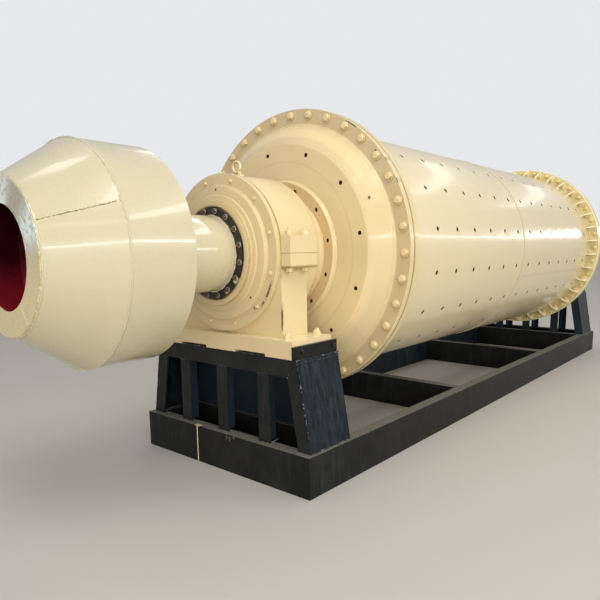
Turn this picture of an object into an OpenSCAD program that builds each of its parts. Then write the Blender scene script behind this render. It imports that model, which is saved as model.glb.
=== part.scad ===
// Ball mill on a welded skid, in millimetres.
// The mill axis runs along X from the feed drum (-X) to the discharge trunnion (+X).
// The origin is on the floor, under the middle of the overall length.

/* [Mill shell] */
// Length between the outer faces of the two end flanges
mill_len = 4884; // [4400:1:5600]
// Height of the mill axis above the floor
axis_z = 1500; // [1440:1:1700]
// Outside radius of the shell
shell_r = 938; // [900:1:960]
// Thickness of the shell plate
shell_t = 22; // [16:1:30]
// Distance of the girth seam from the feed flange's outer face
seam_x = 2380; // [1500:1:3200]

/* [End flanges] */
// Height of every flange above the shell
flange_h = 107; // [90:1:130]
// Thickness of a head's bolting flange
head_flange_t = 50; // [40:1:60]
// Thickness of the shell flange at the feed end
shell_flange_t = 60; // [40:1:80]
// Thickness of the gear-mounting flange
gear_flange_t = 75; // [50:1:90]
// Bolts round a flange
flange_bolts = 36; // [24:4:48]
// Distance of the flange bolts' centres inside the rim
flange_bolt_edge = 45; // [35:1:55]
// Radius of a flange bolt's shank
flange_shank_r = 15; // [10:1:18]
// Width across the flats of a flange bolt
flange_bolt_af = 46; // [36:1:50]
// Height of a flange bolt's head and of its nut
flange_bolt_h = 22; // [16:1:28]
// Angle of the first flange bolt above the horizontal
bolt_phase = -0.6; // [-5:0.1:5]

/* [Gussets of the gear flange] */
// Length of a gusset along the shell
gusset_len = 170; // [120:1:240]
// Thickness of a gusset
gusset_t = 14; // [8:1:20]
// Distance of a gusset's outer corner below the flange rim
gusset_drop = 14; // [5:1:40]
// Length of a gusset's straight top edge
gusset_flat = 60; // [30:1:100]
// Height of a gusset at its far tip
gusset_tip = 28; // [10:1:60]

/* [Heads] */
// How far the head's disc stands out of the flange face
disc_out = 114; // [80:1:150]
// Radius of the flat disc's rounded edge
disc_r = 784; // [740:1:820]
// Angle of the shoulder's cone from the flange face
shoulder_tilt = 34; // [30:1:38]
// Distance of the cone's foot inside the shell's outer surface
shoulder_drop = 23; // [15:1:40]
// Radius of the hub's sloping foot on the disc
hub_foot_r = 658; // [620:1:700]
// Radius of the outer ring of liner bolt holes
outer_hole_r = 727; // [700:1:750]
// Radius of the inner ring of liner bolt holes
inner_hole_r = 461; // [450:1:475]
// Liner bolt holes in each ring
head_holes = 12; // [8:1:16]
// Radius of a liner bolt hole in a head
head_hole_r = 15; // [10:1:18]
// Outer radius of the hub
hub_r = 524; // [505:1:540]
// How far the hub's rim stands out of the flange face
hub_out = 150; // [130:1:170]
// Thickness of the head's disc
disc_t = 70; // [50:1:80]

/* [Trunnions and bearings] */
// Radius of a trunnion's throat
throat_r = 215; // [180:1:225]
// Radius of the journal
journal_r = 380; // [360:1:390]
// Outer radius of the trunnion's nose
nose_r = 300; // [290:1:302]
// Distance of a nose's end face from the flange face
nose_x = 790; // [780:1:800]
// Thickness of the black lock ring
lock_t = 18; // [12:1:22]
// Bolts in the lock ring
lock_bolts = 16; // [12:1:20]
// Radius of the lock ring's bolt circle
lock_bolt_r = 280; // [272:1:283]
// Outside radius of a bearing barrel
barrel_r = 520; // [510:1:540]
// Distance of a barrel's outer face from the flange face
barrel_out = 690; // [670:1:700]
// Length of a bearing barrel along X
barrel_len = 360; // [340:1:380]
// Half the width of the block under a barrel
block_half = 520; // [500:1:530]
// Length along X of the block under a barrel
block_len = 244; // [200:1:260]
// Outer half width over the lugs
lug_half = 600; // [580:1:620]
// Length along X of the lugs
lug_len = 258; // [240:1:270]
// Height of a base's lug below the joint
lug_down = 93; // [80:1:110]
// Height of a cap's lug above the joint
lug_up = 110; // [90:1:120]
// Thickness of an end cover's rim
cover_rim_t = 35; // [25:1:45]
// Distance of an end cover's nose from the flange face
cover_nose_x = 800; // [795:1:810]

/* [Bearing base] */
// Thickness of the base plate
base_t = 114; // [90:1:130]
// Half the width of the base plate
base_half = 668; // [650:1:680]
// Distance of the base plate's outer edge from the flange face
base_out = 760; // [750:1:775]
// Length of the base plate along X
base_len = 387; // [370:1:430]

/* [Skid] */
// Distance of the skid's end from the flange face
skid_reach = 804; // [780:1:1100]
// Overall width of the skid
skid_w = 1664; // [1640:1:1800]
// Height of every skid beam
beam_h = 270; // [250:1:280]
// Width of every skid beam
beam_w = 96; // [80:1:120]
// Wall of every skid beam
beam_t = 9; // [6:1:12]
// Distance of a cross beam's outer face from the skid's middle
cross_x = 1105; // [900:1:1300]

/* [Pedestals] */
// Height of a pedestal's top above the floor
ped_top = 848; // [840:1:856]
// Half the width of a pedestal at its foot
ped_foot = 804; // [790:1:815]
// Half the width of a pedestal at its top
ped_half = 700; // [690:1:720]
// Distance of a pedestal's outer face from the flange face
ped_out = 755; // [740:1:760]
// Depth of a pedestal along X
ped_depth = 410; // [380:1:440]
// Depth of the beam along a pedestal's top
ped_beam_h = 118; // [90:1:140]
// Width of a pedestal's posts
post_w = 104; // [80:1:120]
// Distance between the centres of the posts
post_pitch = 404; // [380:1:420]
// Thickness of a pedestal's plates
ped_t = 14; // [8:1:20]

/* [Feed drum] */
// Distance of the mouth ring's face from the flange face
mouth_x = 2120; // [2050:1:2200]
// Radius of the mouth
mouth_r = 263; // [240:1:300]
// Outer radius of the mouth ring
mouth_ring_r = 397; // [370:1:420]
// Distance of the drum's widest seam from the flange face
drum_seam_x = 1786; // [1700:1:1850]
// Distance of the drum's rear edge from the flange face
drum_rear_x = 1411; // [1350:1:1500]
// Outside radius of the drum
drum_r = 610; // [580:1:640]
// Thickness of the drum's plates
drum_t = 12; // [8:1:16]
// Outside radius of the neck pipe
neck_r = 250; // [240:1:258]
// Thickness of the neck pipe
neck_t = 12; // [8:1:14]

/* [Hidden] */

cream = [0.86, 0.79, 0.63];
black = [0.16, 0.16, 0.15];
round_fn = 144;
small_fn = 32;
seat = 0.3;
hole_gap = 1.5;
turn_gap = 6;
cut = 1;
flange_r = shell_r + flange_h;
flange_bolt_r = flange_r - flange_bolt_edge;
skid_len = mill_len + 2 * skid_reach;
overall_len = mouth_x + mill_len / 2 + skid_len / 2;
feed_x = mouth_x - overall_len / 2;
mid_x = feed_x + mill_len / 2;
bore_r = journal_r + seat;
journal_out = barrel_out - turn_gap;
cover_bore_r = nose_r + turn_gap;
neck_hole_r = neck_r + seat;
barrel_inner_x = barrel_out - barrel_len;
block_out = barrel_out - turn_gap;
block_x = [-block_out, -block_out + block_len];
barrel_core_r = journal_r + 60;
hub_seat_out = 118;
spigot_r = 400;
trunnion_flange_r = 420;
cover_rim_r = barrel_r + 5;
cover_land_r = 452;
cover_step_r = 388;
cover_nose_r = 351;
cover_bevel = 8;
cover_step_out = 26;
cover_slope_out = 6;
inner_cover_t = 25;
inner_cover_inset = 6;
base_top = ped_top + base_t;
foundation_half = 575;
foundation_inset = 64;
foundation_back_inset = 34;
foundation_x = [-base_out + foundation_inset, -base_out + base_len - foundation_back_inset];
foundation_r = 15;
foundation_af = 46;
lug_bolt_r = 14;
lug_bolt_af = 40;
lug_bolt_inset = 37;
lug_bolt_back_inset = 74;
lug_bolt_edge = 42;
lug_x = [-block_out, -block_out + lug_len];
lug_bolt_x = [lug_x[0] + lug_bolt_inset, lug_x[1] - lug_bolt_back_inset];
lug_bolt_y = lug_half - lug_bolt_edge;
nut_h = 24;
thread_h = 10;
washer_t = 5;
washer_lip = 6;
lock_bolt_af = 24;
lock_bolt_h = 12;
eye_offset = 5;
eye_x = -barrel_out + barrel_len / 2 - eye_offset;
eye_boss_r = 26;
eye_boss_h = 6;
eye_ring_r = 36;
eye_wire_r = 9;
eye_collar_h = 12;
eye_shank_r = 13;
eye_reach = 76;
eye_lean = 33;
neck_relief = 2;
neck_taper = 36;
trunnion_flange_t = 24;
trunnion_flange_gap = 6;
hub_land = 2;
hub_round = 14;
hub_dip = 2;
hub_foot_rise = 8;
arc_steps = 6;
edge_round = 30;
foot_round = 14;
foot_angle = 60;
foot_fillet = 14;
head_inner_step = 30;
head_inner_slope = 20;
stop_lead = 12;
stop_tail = 5;
stop_t = 22;
stop_h = 84;
slot_w = 285;
slot_h = 18;
slot_depth = 60;
slot_y = 290;

// Radius of a hexagon over its corners, from its width across the flats
function hex_r(af) = af / (2 * cos(30));

// Puts a piece drawn at the feed end, from the feed flange's outer face, at its place
module at_feed() {
    translate([feed_x, 0, 0]) children();
}

// The same piece, mirrored to the discharge end
module at_discharge() {
    translate([feed_x + mill_len, 0, 0]) mirror([1, 0, 0]) children();
}

// Puts a piece drawn from the skid's middle at its place
module at_middle() {
    translate([mid_x, 0, 0]) children();
}

// Copies at both ends
module at_both() {
    at_feed() children();
    at_discharge() children();
}

// Lays a shape drawn along Z on the mill axis, with Z turned to +X
module on_axis() {
    translate([0, 0, axis_z]) rotate([0, 90, 0]) children();
}

// A ring turned from a profile of [radius, x] points
module turned(profile) {
    on_axis() rotate_extrude($fn = round_fn) polygon(profile);
}

// A plain ring between two x positions
module ring(inner, outer, x0, x1) {
    turned([[inner, x0], [outer, x0], [outer, x1], [inner, x1]]);
}

// Copies round the axis; angle 0 is level on the near side and angles rise upwards
module round_axis(count, first) {
    for (i = [0 : count - 1])
        translate([0, 0, axis_z]) rotate([-(first + i * 360 / count), 0, 0]) translate([0, 0, -axis_z])
            children();
}

// A cylinder along X, at radius r on the near side of the axis
module rod_x(r, at, x0, x1, sides) {
    translate([x0, -at, axis_z]) rotate([0, 90, 0]) cylinder(r = r, h = x1 - x0, $fn = sides);
}

module box(x0, x1, y0, y1, z0, z1) {
    translate([x0, y0, z0]) cube([x1 - x0, y1 - y0, z1 - z0]);
}

// A beam across the skid's end, open towards the rails and closed at both ends
module end_beam() {
    half = skid_w / 2;
    translate([-skid_len / 2, 0, 0]) difference() {
        box(0, beam_w, -half, half, 0, beam_h);
        box(beam_t, beam_w + cut, -half + beam_t, half - beam_t, beam_t, beam_h - beam_t);
    }
}

// A hollow skid beam of rectangular section, along Y
module beam_y(x0, length) {
    translate([x0, length / 2, 0]) rotate([90, 0, 0]) linear_extrude(length) difference() {
        square([beam_w, beam_h]);
        translate([beam_t, beam_t]) square([beam_w - 2 * beam_t, beam_h - 2 * beam_t]);
    }
}

// A hollow side rail between the two end beams
module side_rail() {
    length = skid_len - 2 * beam_w;
    translate([-length / 2, skid_w / 2 - beam_w, 0]) rotate([90, 0, 90]) linear_extrude(length)
        difference() {
            square([beam_w, beam_h]);
            translate([beam_t, beam_t]) square([beam_w - 2 * beam_t, beam_h - 2 * beam_t]);
        }
}

module side_rail_far() {
    color(black) at_middle() side_rail();
}

module side_rail_near() {
    color(black) at_middle() mirror([0, 1, 0]) side_rail();
}

module end_beam_feed() {
    color(black) at_middle() end_beam();
}

module end_beam_discharge() {
    color(black) at_middle() mirror([1, 0, 0]) end_beam();
}

// The beam under a pedestal's inner face
module inner_beam() {
    translate([-ped_out + ped_depth - beam_w / 2, 0, 0]) beam_y(0, skid_w - 2 * beam_w);
}

module inner_beam_feed() {
    color(black) at_feed() inner_beam();
}

module inner_beam_discharge() {
    color(black) at_discharge() inner_beam();
}

module cross_beam_feed() {
    color(black) at_middle() beam_y(-cross_x, skid_w - 2 * beam_w);
}

module cross_beam_discharge() {
    color(black) at_middle() beam_y(cross_x, skid_w - 2 * beam_w);
}

// The trapezoid of a pedestal seen from its end, pulled in by a distance on each side
module ped_outline(inset) {
    polygon([
        [-ped_foot + inset, beam_h], [ped_foot - inset, beam_h],
        [ped_half - inset, ped_top], [-ped_half + inset, ped_top]
    ]);
}

// Extrudes an outline in the Y-Z plane along X
module along_x(x0, x1) {
    translate([x0, 0, 0]) rotate([90, 0, 90]) linear_extrude(x1 - x0) children();
}

// The frame of flat bars on a pedestal's face: top beam, corner legs and posts
module ped_face(x0) {
    bottom = ped_top - ped_beam_h;
    post_h = bottom - beam_h;
    along_x(x0, x0 + ped_t) difference() {
        ped_outline(0);
        difference() {
            ped_outline(post_w);
            translate([-ped_foot, bottom]) square([2 * ped_foot, ped_beam_h + cut]);
            for (i = [-1 : 1])
                translate([i * post_pitch - post_w / 2, beam_h - cut]) square([post_w, post_h + 2 * cut]);
        }
    }
}

// A pedestal: two sloping side plates, a top plate and barred faces
module pedestal(back_plate) {
    outer = -ped_out;
    inner = outer + ped_depth;
    bottom = ped_top - ped_beam_h;
    difference() {
        union() {
            along_x(outer + ped_t, inner - ped_t) difference() {
                ped_outline(0);
                intersection() {
                    ped_outline(ped_t);
                    translate([-ped_foot, 0]) square([2 * ped_foot, ped_top - ped_t]);
                }
            }
            ped_face(outer);
            if (back_plate)
                along_x(inner - ped_t, inner) ped_outline(0);
            else
                ped_face(inner - ped_t);
            for (i = [-1 : 1])
                translate([0, i * post_pitch, 0])
                    box(outer + ped_t, outer + ped_depth / 4, -ped_t / 2, ped_t / 2, beam_h, ped_top - ped_t);
        }
        for (x = foundation_x, side = [-1, 1])
            translate([x, side * foundation_half, bottom])
                cylinder(r = foundation_r + hole_gap, h = ped_beam_h + cut, $fn = small_fn);
    }
}

module pedestal_feed() {
    color(black) at_feed() pedestal(true);
}

module pedestal_discharge() {
    color(black) at_discharge() pedestal(false);
}

// The plates that keep a bearing base from creeping sideways
module stop_plates() {
    color(black) at_both() for (side = [0, 1])
        mirror([0, side, 0])
            translate([-ped_out, base_half, ped_top])
                box(-stop_lead, ped_depth + stop_tail, 0, stop_t, 0, stop_h);
}

// The lugs on both sides of a bearing, between two heights
module lugs(z0, z1) {
    for (side = [0, 1])
        mirror([0, side, 0]) box(lug_x[0], lug_x[1], barrel_core_r, lug_half, z0, z1);
}

module lug_holes() {
    for (x = lug_bolt_x, side = [-1, 1])
        translate([x, side * lug_bolt_y, axis_z - lug_down - cut])
            cylinder(r = lug_bolt_r + hole_gap, h = lug_down + lug_up + 2 * cut, $fn = small_fn);
}

// A bearing barrel between two heights
module barrel(z0, z1) {
    intersection() {
        on_axis() translate([0, 0, -barrel_out]) cylinder(r = barrel_r, h = barrel_len, $fn = round_fn);
        box(-barrel_out, -barrel_inner_x, -barrel_r, barrel_r, z0, z1);
    }
}

// What the journal's bore takes out of a bearing
module journal_bore() {
    on_axis() translate([0, 0, -barrel_out - cut])
        cylinder(r = bore_r, h = barrel_len + 2 * cut, $fn = round_fn);
}

// The lower half of a bearing: base plate, block, half barrel and lugs in one casting
module bearing_base() {
    difference() {
        union() {
            box(-base_out, -base_out + base_len, -base_half, base_half, ped_top, base_top);
            box(block_x[0], block_x[1], -block_half, block_half, base_top, axis_z);
            barrel(base_top, axis_z);
            lugs(axis_z - lug_down, axis_z);
        }
        journal_bore();
        lug_holes();
        for (x = foundation_x, side = [-1, 1])
            translate([x, side * foundation_half, ped_top - cut])
                cylinder(r = foundation_r + hole_gap, h = base_t + 2 * cut, $fn = small_fn);
        for (side = [-1, 1])
            translate([-base_out, side * slot_y, ped_top])
                box(-cut, slot_depth, -slot_w / 2, slot_w / 2, -cut, slot_h);
    }
}

module bearing_base_feed() {
    color(cream) at_feed() bearing_base();
}

module bearing_base_discharge() {
    color(cream) at_discharge() bearing_base();
}

// The upper half of a bearing, with its lugs and the boss of the lifting eye
module bearing_cap() {
    difference() {
        union() {
            barrel(axis_z, axis_z + barrel_r);
            lugs(axis_z, axis_z + lug_up);
            translate([eye_x, 0, axis_z + barrel_core_r])
                cylinder(r = eye_boss_r, h = barrel_r - barrel_core_r + eye_boss_h, $fn = small_fn);
        }
        journal_bore();
        lug_holes();
    }
}

module bearing_cap_feed() {
    color(cream) at_feed() bearing_cap();
}

module bearing_cap_discharge() {
    color(cream) at_discharge() bearing_cap();
}

// An eye bolt: a ring on a leaning shank over a round collar
module lifting_eye() {
    base = axis_z + barrel_r + eye_boss_h;
    shank_start = eye_collar_h * 5 / 6;
    translate([eye_x, 0, base]) {
        cylinder(r = eye_boss_r - eye_boss_h, h = eye_collar_h, $fn = small_fn);
        rotate([-eye_lean, 0, 0]) {
            translate([0, 0, shank_start])
                cylinder(r1 = eye_shank_r, r2 = eye_wire_r, h = eye_reach - eye_ring_r - shank_start, $fn = small_fn);
            translate([0, 0, eye_reach]) rotate([0, 90, 0])
                rotate_extrude($fn = 40) translate([eye_ring_r, 0]) circle(r = eye_wire_r, $fn = 16);
        }
    }
}

module lifting_eye_feed() {
    color(cream) at_feed() lifting_eye();
}

module lifting_eye_discharge() {
    color(cream) at_discharge() lifting_eye();
}

// The stepped outer cover of a bearing, with a proud rim round its bore
module end_cover() {
    rim = barrel_out + cover_rim_t;
    step = rim + cover_step_out;
    slope = step + cover_slope_out;
    turned([
        [cover_bore_r, -barrel_out], [cover_rim_r, -barrel_out], [cover_rim_r, -rim],
        [cover_land_r, -rim], [cover_land_r - cover_bevel / 2, -step + cover_bevel],
        [cover_land_r - cover_bevel * 3 / 2, -step], [cover_step_r, -slope],
        [cover_step_r - cover_bevel, -slope - cover_bevel],
        [cover_nose_r, -slope - cover_bevel * 3 / 2], [cover_nose_r - cover_bevel / 2, -cover_nose_x],
        [cover_bore_r + cover_bevel, -cover_nose_x], [cover_bore_r, -cover_nose_x + cover_bevel]
    ]);
}

module end_cover_feed() {
    color(cream) at_feed() end_cover();
}

module end_cover_discharge() {
    color(cream) at_discharge() end_cover();
}

// The flat cover on a bearing's inner face
module inner_cover() {
    ring(journal_r, barrel_r - inner_cover_inset, -barrel_inner_x, -barrel_inner_x + inner_cover_t);
}

module inner_cover_feed() {
    color(cream) at_feed() inner_cover();
}

module inner_cover_discharge() {
    color(cream) at_discharge() inner_cover();
}

// A bolt standing upright: nut and washer above, shank, nut below
module upright_bolt(x, y, z0, z1, shank, af) {
    translate([x, y, z1]) cylinder(r = hex_r(af) + washer_lip, h = washer_t, $fn = small_fn);
    translate([x, y, z1 + washer_t]) cylinder(r = hex_r(af), h = nut_h, $fn = 6);
    translate([x, y, z1 + washer_t + nut_h]) cylinder(r = shank, h = thread_h, $fn = small_fn);
    translate([x, y, z0 - nut_h]) cylinder(r = shank, h = z1 - z0 + nut_h + washer_t, $fn = small_fn);
    translate([x, y, z0 - nut_h]) cylinder(r = hex_r(af), h = nut_h, $fn = 6);
}

// The bolts that hold the caps down on the bases
module cap_bolts() {
    color(cream) at_both()
        for (x = lug_bolt_x, side = [-1, 1])
            upright_bolt(x, side * lug_bolt_y, axis_z - lug_down, axis_z + lug_up, lug_bolt_r, lug_bolt_af);
}

// The bolts that hold the bearing bases on the pedestals
module foundation_bolts() {
    color(cream) at_both()
        for (x = foundation_x, side = [-1, 1])
            upright_bolt(x, side * foundation_half, ped_top - ped_t, base_top, foundation_r, foundation_af);
}

// The flat ring round the feed mouth
module mouth_ring() {
    color(cream) at_feed() ring(mouth_r, mouth_ring_r, -mouth_x, -mouth_x + drum_t);
}

// The rolled cone from the mouth ring to the drum's widest seam
module drum_cone() {
    front = -mouth_x + drum_t;
    color(cream) at_feed() turned([
        [mouth_ring_r - drum_t, front], [mouth_ring_r, front],
        [drum_r, -drum_seam_x], [drum_r - drum_t, -drum_seam_x]
    ]);
}

module drum_barrel() {
    color(cream) at_feed() ring(drum_r - drum_t, drum_r, -drum_seam_x, -drum_rear_x);
}

// The plate that closes the drum round the neck pipe
module drum_back_plate() {
    outer = -drum_rear_x - 2 * drum_t;
    color(cream) at_feed() ring(neck_hole_r, drum_r - drum_t - seat, outer, outer + drum_t);
}

module neck_pipe() {
    color(cream) at_feed() ring(neck_r - neck_t, neck_r, -drum_rear_x - 3 * drum_t, -nose_x);
}

// The black ring that clamps the neck pipe to the trunnion's end, with its bolts
module lock_ring() {
    color(black) at_feed() {
        ring(neck_hole_r, nose_r, -nose_x - lock_t, -nose_x);
        round_axis(lock_bolts, 360 / lock_bolts / 2)
            rod_x(hex_r(lock_bolt_af), lock_bolt_r, -nose_x - lock_t - lock_bolt_h,
                  -nose_x - lock_t / 2, 6);
    }
}

// A hollow trunnion: nose, journal, neck and the flange seated in the hub
module trunnion() {
    neck = journal_r - turn_gap - neck_relief;
    journal_inner = barrel_inner_x + turn_gap;
    flange_out = hub_seat_out + trunnion_flange_t;
    turned([
        [throat_r, -nose_x], [nose_r, -nose_x], [nose_r, -journal_out], [journal_r, -journal_out],
        [journal_r, -journal_inner], [neck, -journal_inner], [neck, -flange_out - neck_taper],
        [trunnion_flange_r, -flange_out], [trunnion_flange_r, -hub_seat_out],
        [spigot_r, -hub_seat_out], [spigot_r, -disc_out + disc_t], [throat_r, -disc_out + disc_t]
    ]);
}

module trunnion_feed() {
    color(cream) at_feed() trunnion();
}

module trunnion_discharge() {
    color(cream) at_discharge() trunnion();
}

// An arc of a turned profile; an angle is its normal's, from straight out of the head to straight up
function arc(middle, round, from, to) = [for (i = [0 : arc_steps]) let (a = from + (to - from) * i / arc_steps)
    [middle[0] + round * sin(a), -middle[1] - round * cos(a)]];

// The head's shoulder: a rounded disc edge, a cone, and a rounded foot with a fillet on the flange
function shoulder() =
    let (
        edge = [disc_r - edge_round * sin(shoulder_tilt / 2), disc_out - edge_round],
        cone_r = shell_r - shoulder_drop,
        cone_top = edge + edge_round * [sin(shoulder_tilt), cos(shoulder_tilt)],
        cone_end = [cone_r, cone_top[1] - (cone_r - cone_top[0]) * tan(shoulder_tilt)],
        foot = cone_end - foot_round * [sin(shoulder_tilt), cos(shoulder_tilt)],
        drop = foot[1] + (foot_round + foot_fillet) * cos(foot_angle) - foot_fillet,
        fillet = [foot[0] + (foot_round + foot_fillet) * sin(foot_angle) + drop / tan(foot_angle), foot_fillet]
    )
    concat(arc(edge, edge_round, 0, shoulder_tilt), arc(foot, foot_round, shoulder_tilt, foot_angle),
           arc(fillet, -foot_fillet, foot_angle, 0));

// A cast head: bolting flange, coned shoulder, flat disc and a countersunk hub
module head() {
    inside_r = shell_r - shell_t;
    hub_rim = [hub_r - hub_round, hub_out - hub_round];
    difference() {
        turned(concat(
            [[spigot_r + seat, -hub_seat_out], [trunnion_flange_r + trunnion_flange_gap, -hub_seat_out],
             [hub_rim[0] - hub_land, -hub_out + hub_dip]],
            arc(hub_rim, hub_round, 0, 80),
            [[hub_r + hub_round / 2, -disc_out - hub_foot_rise], [hub_foot_r, -disc_out]],
            shoulder(),
            [[flange_r, 0], [flange_r, head_flange_t], [inside_r, head_flange_t],
             [inside_r - head_inner_step, head_flange_t - head_inner_slope], [disc_r, -disc_out + disc_t],
             [spigot_r + seat, -disc_out + disc_t]]
        ));
        round_axis(flange_bolts, bolt_phase)
            rod_x(flange_shank_r + hole_gap, flange_bolt_r, -cut, head_flange_t + cut, small_fn);
        round_axis(head_holes, 10)
            rod_x(head_hole_r, outer_hole_r, -disc_out - cut, -disc_out + disc_t + cut, small_fn);
        round_axis(head_holes, 10)
            rod_x(head_hole_r, inner_hole_r, -hub_out - cut, -disc_out + disc_t + cut, small_fn);
    }
}

module head_feed() {
    color(cream) at_feed() head();
}

module head_discharge() {
    color(cream) at_discharge() head();
}

// Hexagon bolts through a head's flange and the flange behind it
module head_bolts(grip) {
    round_axis(flange_bolts, bolt_phase) {
        rod_x(hex_r(flange_bolt_af), flange_bolt_r, -flange_bolt_h, 0, 6);
        rod_x(flange_shank_r, flange_bolt_r, -flange_bolt_h / 2, grip + flange_bolt_h / 2, small_fn);
        rod_x(hex_r(flange_bolt_af), flange_bolt_r, grip, grip + flange_bolt_h, 6);
    }
}

module head_bolts_feed() {
    color(cream) at_feed() head_bolts(head_flange_t + shell_flange_t);
}

module head_bolts_discharge() {
    color(cream) at_discharge() head_bolts(head_flange_t + gear_flange_t);
}

// The rolled shell in two courses, welded at the girth seam
module shell_feed_course() {
    color(cream) at_feed() ring(shell_r - shell_t, shell_r, head_flange_t, seam_x);
}

module shell_discharge_course() {
    color(cream) at_feed() ring(shell_r - shell_t, shell_r, seam_x, mill_len - head_flange_t);
}

// A flange ring round the shell's end, bored for the flange bolts
module end_flange(thickness) {
    back = head_flange_t + thickness;
    difference() {
        ring(shell_r + seat, flange_r, head_flange_t, back);
        round_axis(flange_bolts, bolt_phase)
            rod_x(flange_shank_r + hole_gap, flange_bolt_r, head_flange_t - cut, back + cut, small_fn);
    }
}

module shell_flange() {
    color(cream) at_feed() end_flange(shell_flange_t);
}

// One gusset between the shell and the back of the gear flange, on the near side
module gusset() {
    face = head_flange_t + gear_flange_t;
    low = shell_r + seat;
    high = flange_r - gusset_drop;
    translate([0, 0, axis_z + gusset_t / 2]) mirror([0, 0, 1]) linear_extrude(gusset_t) polygon([
        [face - cut, -low], [face - cut, -high], [face + gusset_flat, -high],
        [face + gusset_len, -low - gusset_tip], [face + gusset_len, -low]
    ]);
}

// The gear-mounting flange with a gusset between each pair of bolts
module gear_flange() {
    color(cream) at_discharge() {
        end_flange(gear_flange_t);
        round_axis(flange_bolts, bolt_phase + 180 / flange_bolts) gusset();
    }
}

side_rail_near();
side_rail_far();
end_beam_feed();
end_beam_discharge();
inner_beam_feed();
inner_beam_discharge();
cross_beam_feed();
cross_beam_discharge();
pedestal_feed();
pedestal_discharge();
stop_plates();
bearing_base_feed();
bearing_base_discharge();
bearing_cap_feed();
bearing_cap_discharge();
end_cover_feed();
end_cover_discharge();
inner_cover_feed();
inner_cover_discharge();
lifting_eye_feed();
lifting_eye_discharge();
cap_bolts();
foundation_bolts();
mouth_ring();
drum_cone();
drum_barrel();
drum_back_plate();
neck_pipe();
lock_ring();
trunnion_feed();
trunnion_discharge();
head_feed();
head_discharge();
head_bolts_feed();
head_bolts_discharge();
shell_feed_course();
shell_discharge_course();
shell_flange();
gear_flange();
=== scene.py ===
"""Looks for a ball mill on a welded skid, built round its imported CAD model.

Metres. The mill axis runs along X at AXIS_Z; "out" is a distance along X from a flange's outer face,
and feed-end shapes are drawn with out = 0 at the feed flange, negative towards the drum.
Angles round the axis are 0 on the near side (-Y) and rise upwards.
"""

import math
import random

import bmesh
import bpy
from mathutils import Matrix, Vector


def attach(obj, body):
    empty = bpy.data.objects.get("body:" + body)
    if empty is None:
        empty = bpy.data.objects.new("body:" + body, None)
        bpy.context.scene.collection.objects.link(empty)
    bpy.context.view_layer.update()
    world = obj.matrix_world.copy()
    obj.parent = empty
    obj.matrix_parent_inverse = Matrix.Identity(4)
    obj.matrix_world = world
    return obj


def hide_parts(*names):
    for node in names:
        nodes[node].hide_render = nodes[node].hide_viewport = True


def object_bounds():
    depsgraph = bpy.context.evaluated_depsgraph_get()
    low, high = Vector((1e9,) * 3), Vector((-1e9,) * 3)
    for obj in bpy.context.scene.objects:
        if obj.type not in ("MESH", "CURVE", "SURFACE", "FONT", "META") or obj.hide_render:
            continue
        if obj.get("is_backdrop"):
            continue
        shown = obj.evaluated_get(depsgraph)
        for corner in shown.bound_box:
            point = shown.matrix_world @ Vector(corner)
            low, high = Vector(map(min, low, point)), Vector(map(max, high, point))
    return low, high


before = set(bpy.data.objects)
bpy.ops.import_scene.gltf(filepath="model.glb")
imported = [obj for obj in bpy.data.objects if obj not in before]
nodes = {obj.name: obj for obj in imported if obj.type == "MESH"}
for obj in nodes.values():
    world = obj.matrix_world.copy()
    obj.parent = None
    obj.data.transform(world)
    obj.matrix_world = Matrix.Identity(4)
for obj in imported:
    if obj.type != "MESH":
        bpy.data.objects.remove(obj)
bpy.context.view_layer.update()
scene = bpy.context.scene
dice = random.Random(11)

# Sizes, as in the part's source
AXIS_Z = 1.5
FEED_X = -1.784
MILL_LEN = 4.884
SHELL_R = 0.938
SHELL_T = 0.022
SEAM_X = 2.380
FLANGE_R = 1.045
HEAD_FLANGE_T = 0.050
HEAD_INNER_STEP = 0.030
HEAD_INNER_SLOPE = 0.020
SHELL_FLANGE_T = 0.060
GEAR_FLANGE_T = 0.075
FIT = 0.0003
BOLT_CIRCLE_R = 1.000
BOLT_COUNT = 36
BOLT_PHASE = -0.6
BOLT_AF = 0.046
BOLT_H = 0.022
WASHER_R = 0.031
WASHER_H = 0.004
GUSSET_LEN = 0.170
GUSSET_T = 0.014
GUSSET_DROP = 0.014
GUSSET_FLAT = 0.060
GUSSET_TIP = 0.028
DISC_OUT = 0.114
DISC_R = 0.784
DISC_T = 0.070
SHOULDER_TILT = 34
CONE_R = 0.915
HUB_FOOT_R = 0.658
HUB_OUT = 0.150
HUB_R = 0.524
HUB_SEAT_OUT = 0.118
SEAT_R = 0.426
SPIGOT_R = 0.4003
OUTER_HOLE_R = 0.727
INNER_HOLE_R = 0.461
HEAD_HOLE_R = 0.015
HEAD_HOLES = 12
HEAD_HOLE_PHASE = 10
BARREL_R = 0.520
BARREL_OUT = 0.690
BARREL_BACK = 0.330
INNER_COVER_T = 0.025
INNER_COVER_R = 0.514
COVER_BORE_R = 0.306
COVER_RIM_R = 0.525
COVER_RIM_OUT = 0.725
COVER_LAND_R = 0.452
COVER_STEP_R = 0.388
COVER_STEP_OUT = 0.751
COVER_SLOPE_OUT = 0.757
COVER_NOSE_R = 0.351
COVER_NOSE_OUT = 0.800
COVER_BEVEL = 0.008
BLOCK_HALF = 0.520
BASE_TOP = 0.962
FOUNDATION_X = (-0.696, -0.407)
FOUNDATION_Y = 0.575
LUG_UP = 0.110
LUG_DOWN = 0.093
LUG_X = (-0.684, -0.426)
LUG_BOLT_X = (-0.647, -0.500)
LUG_BOLT_Y = 0.558
PED_TOP = 0.848
PED_T = 0.014
PED_OUT = 0.755
PED_IN = 0.345
PED_FOOT = 0.804
PED_HALF = 0.700
PED_BAND_Z = 0.730
POST_W = 0.104
POST_PITCH = 0.404
BEAM_H = 0.270
MOUTH_X = 2.120
MOUTH_R = 0.263
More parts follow.
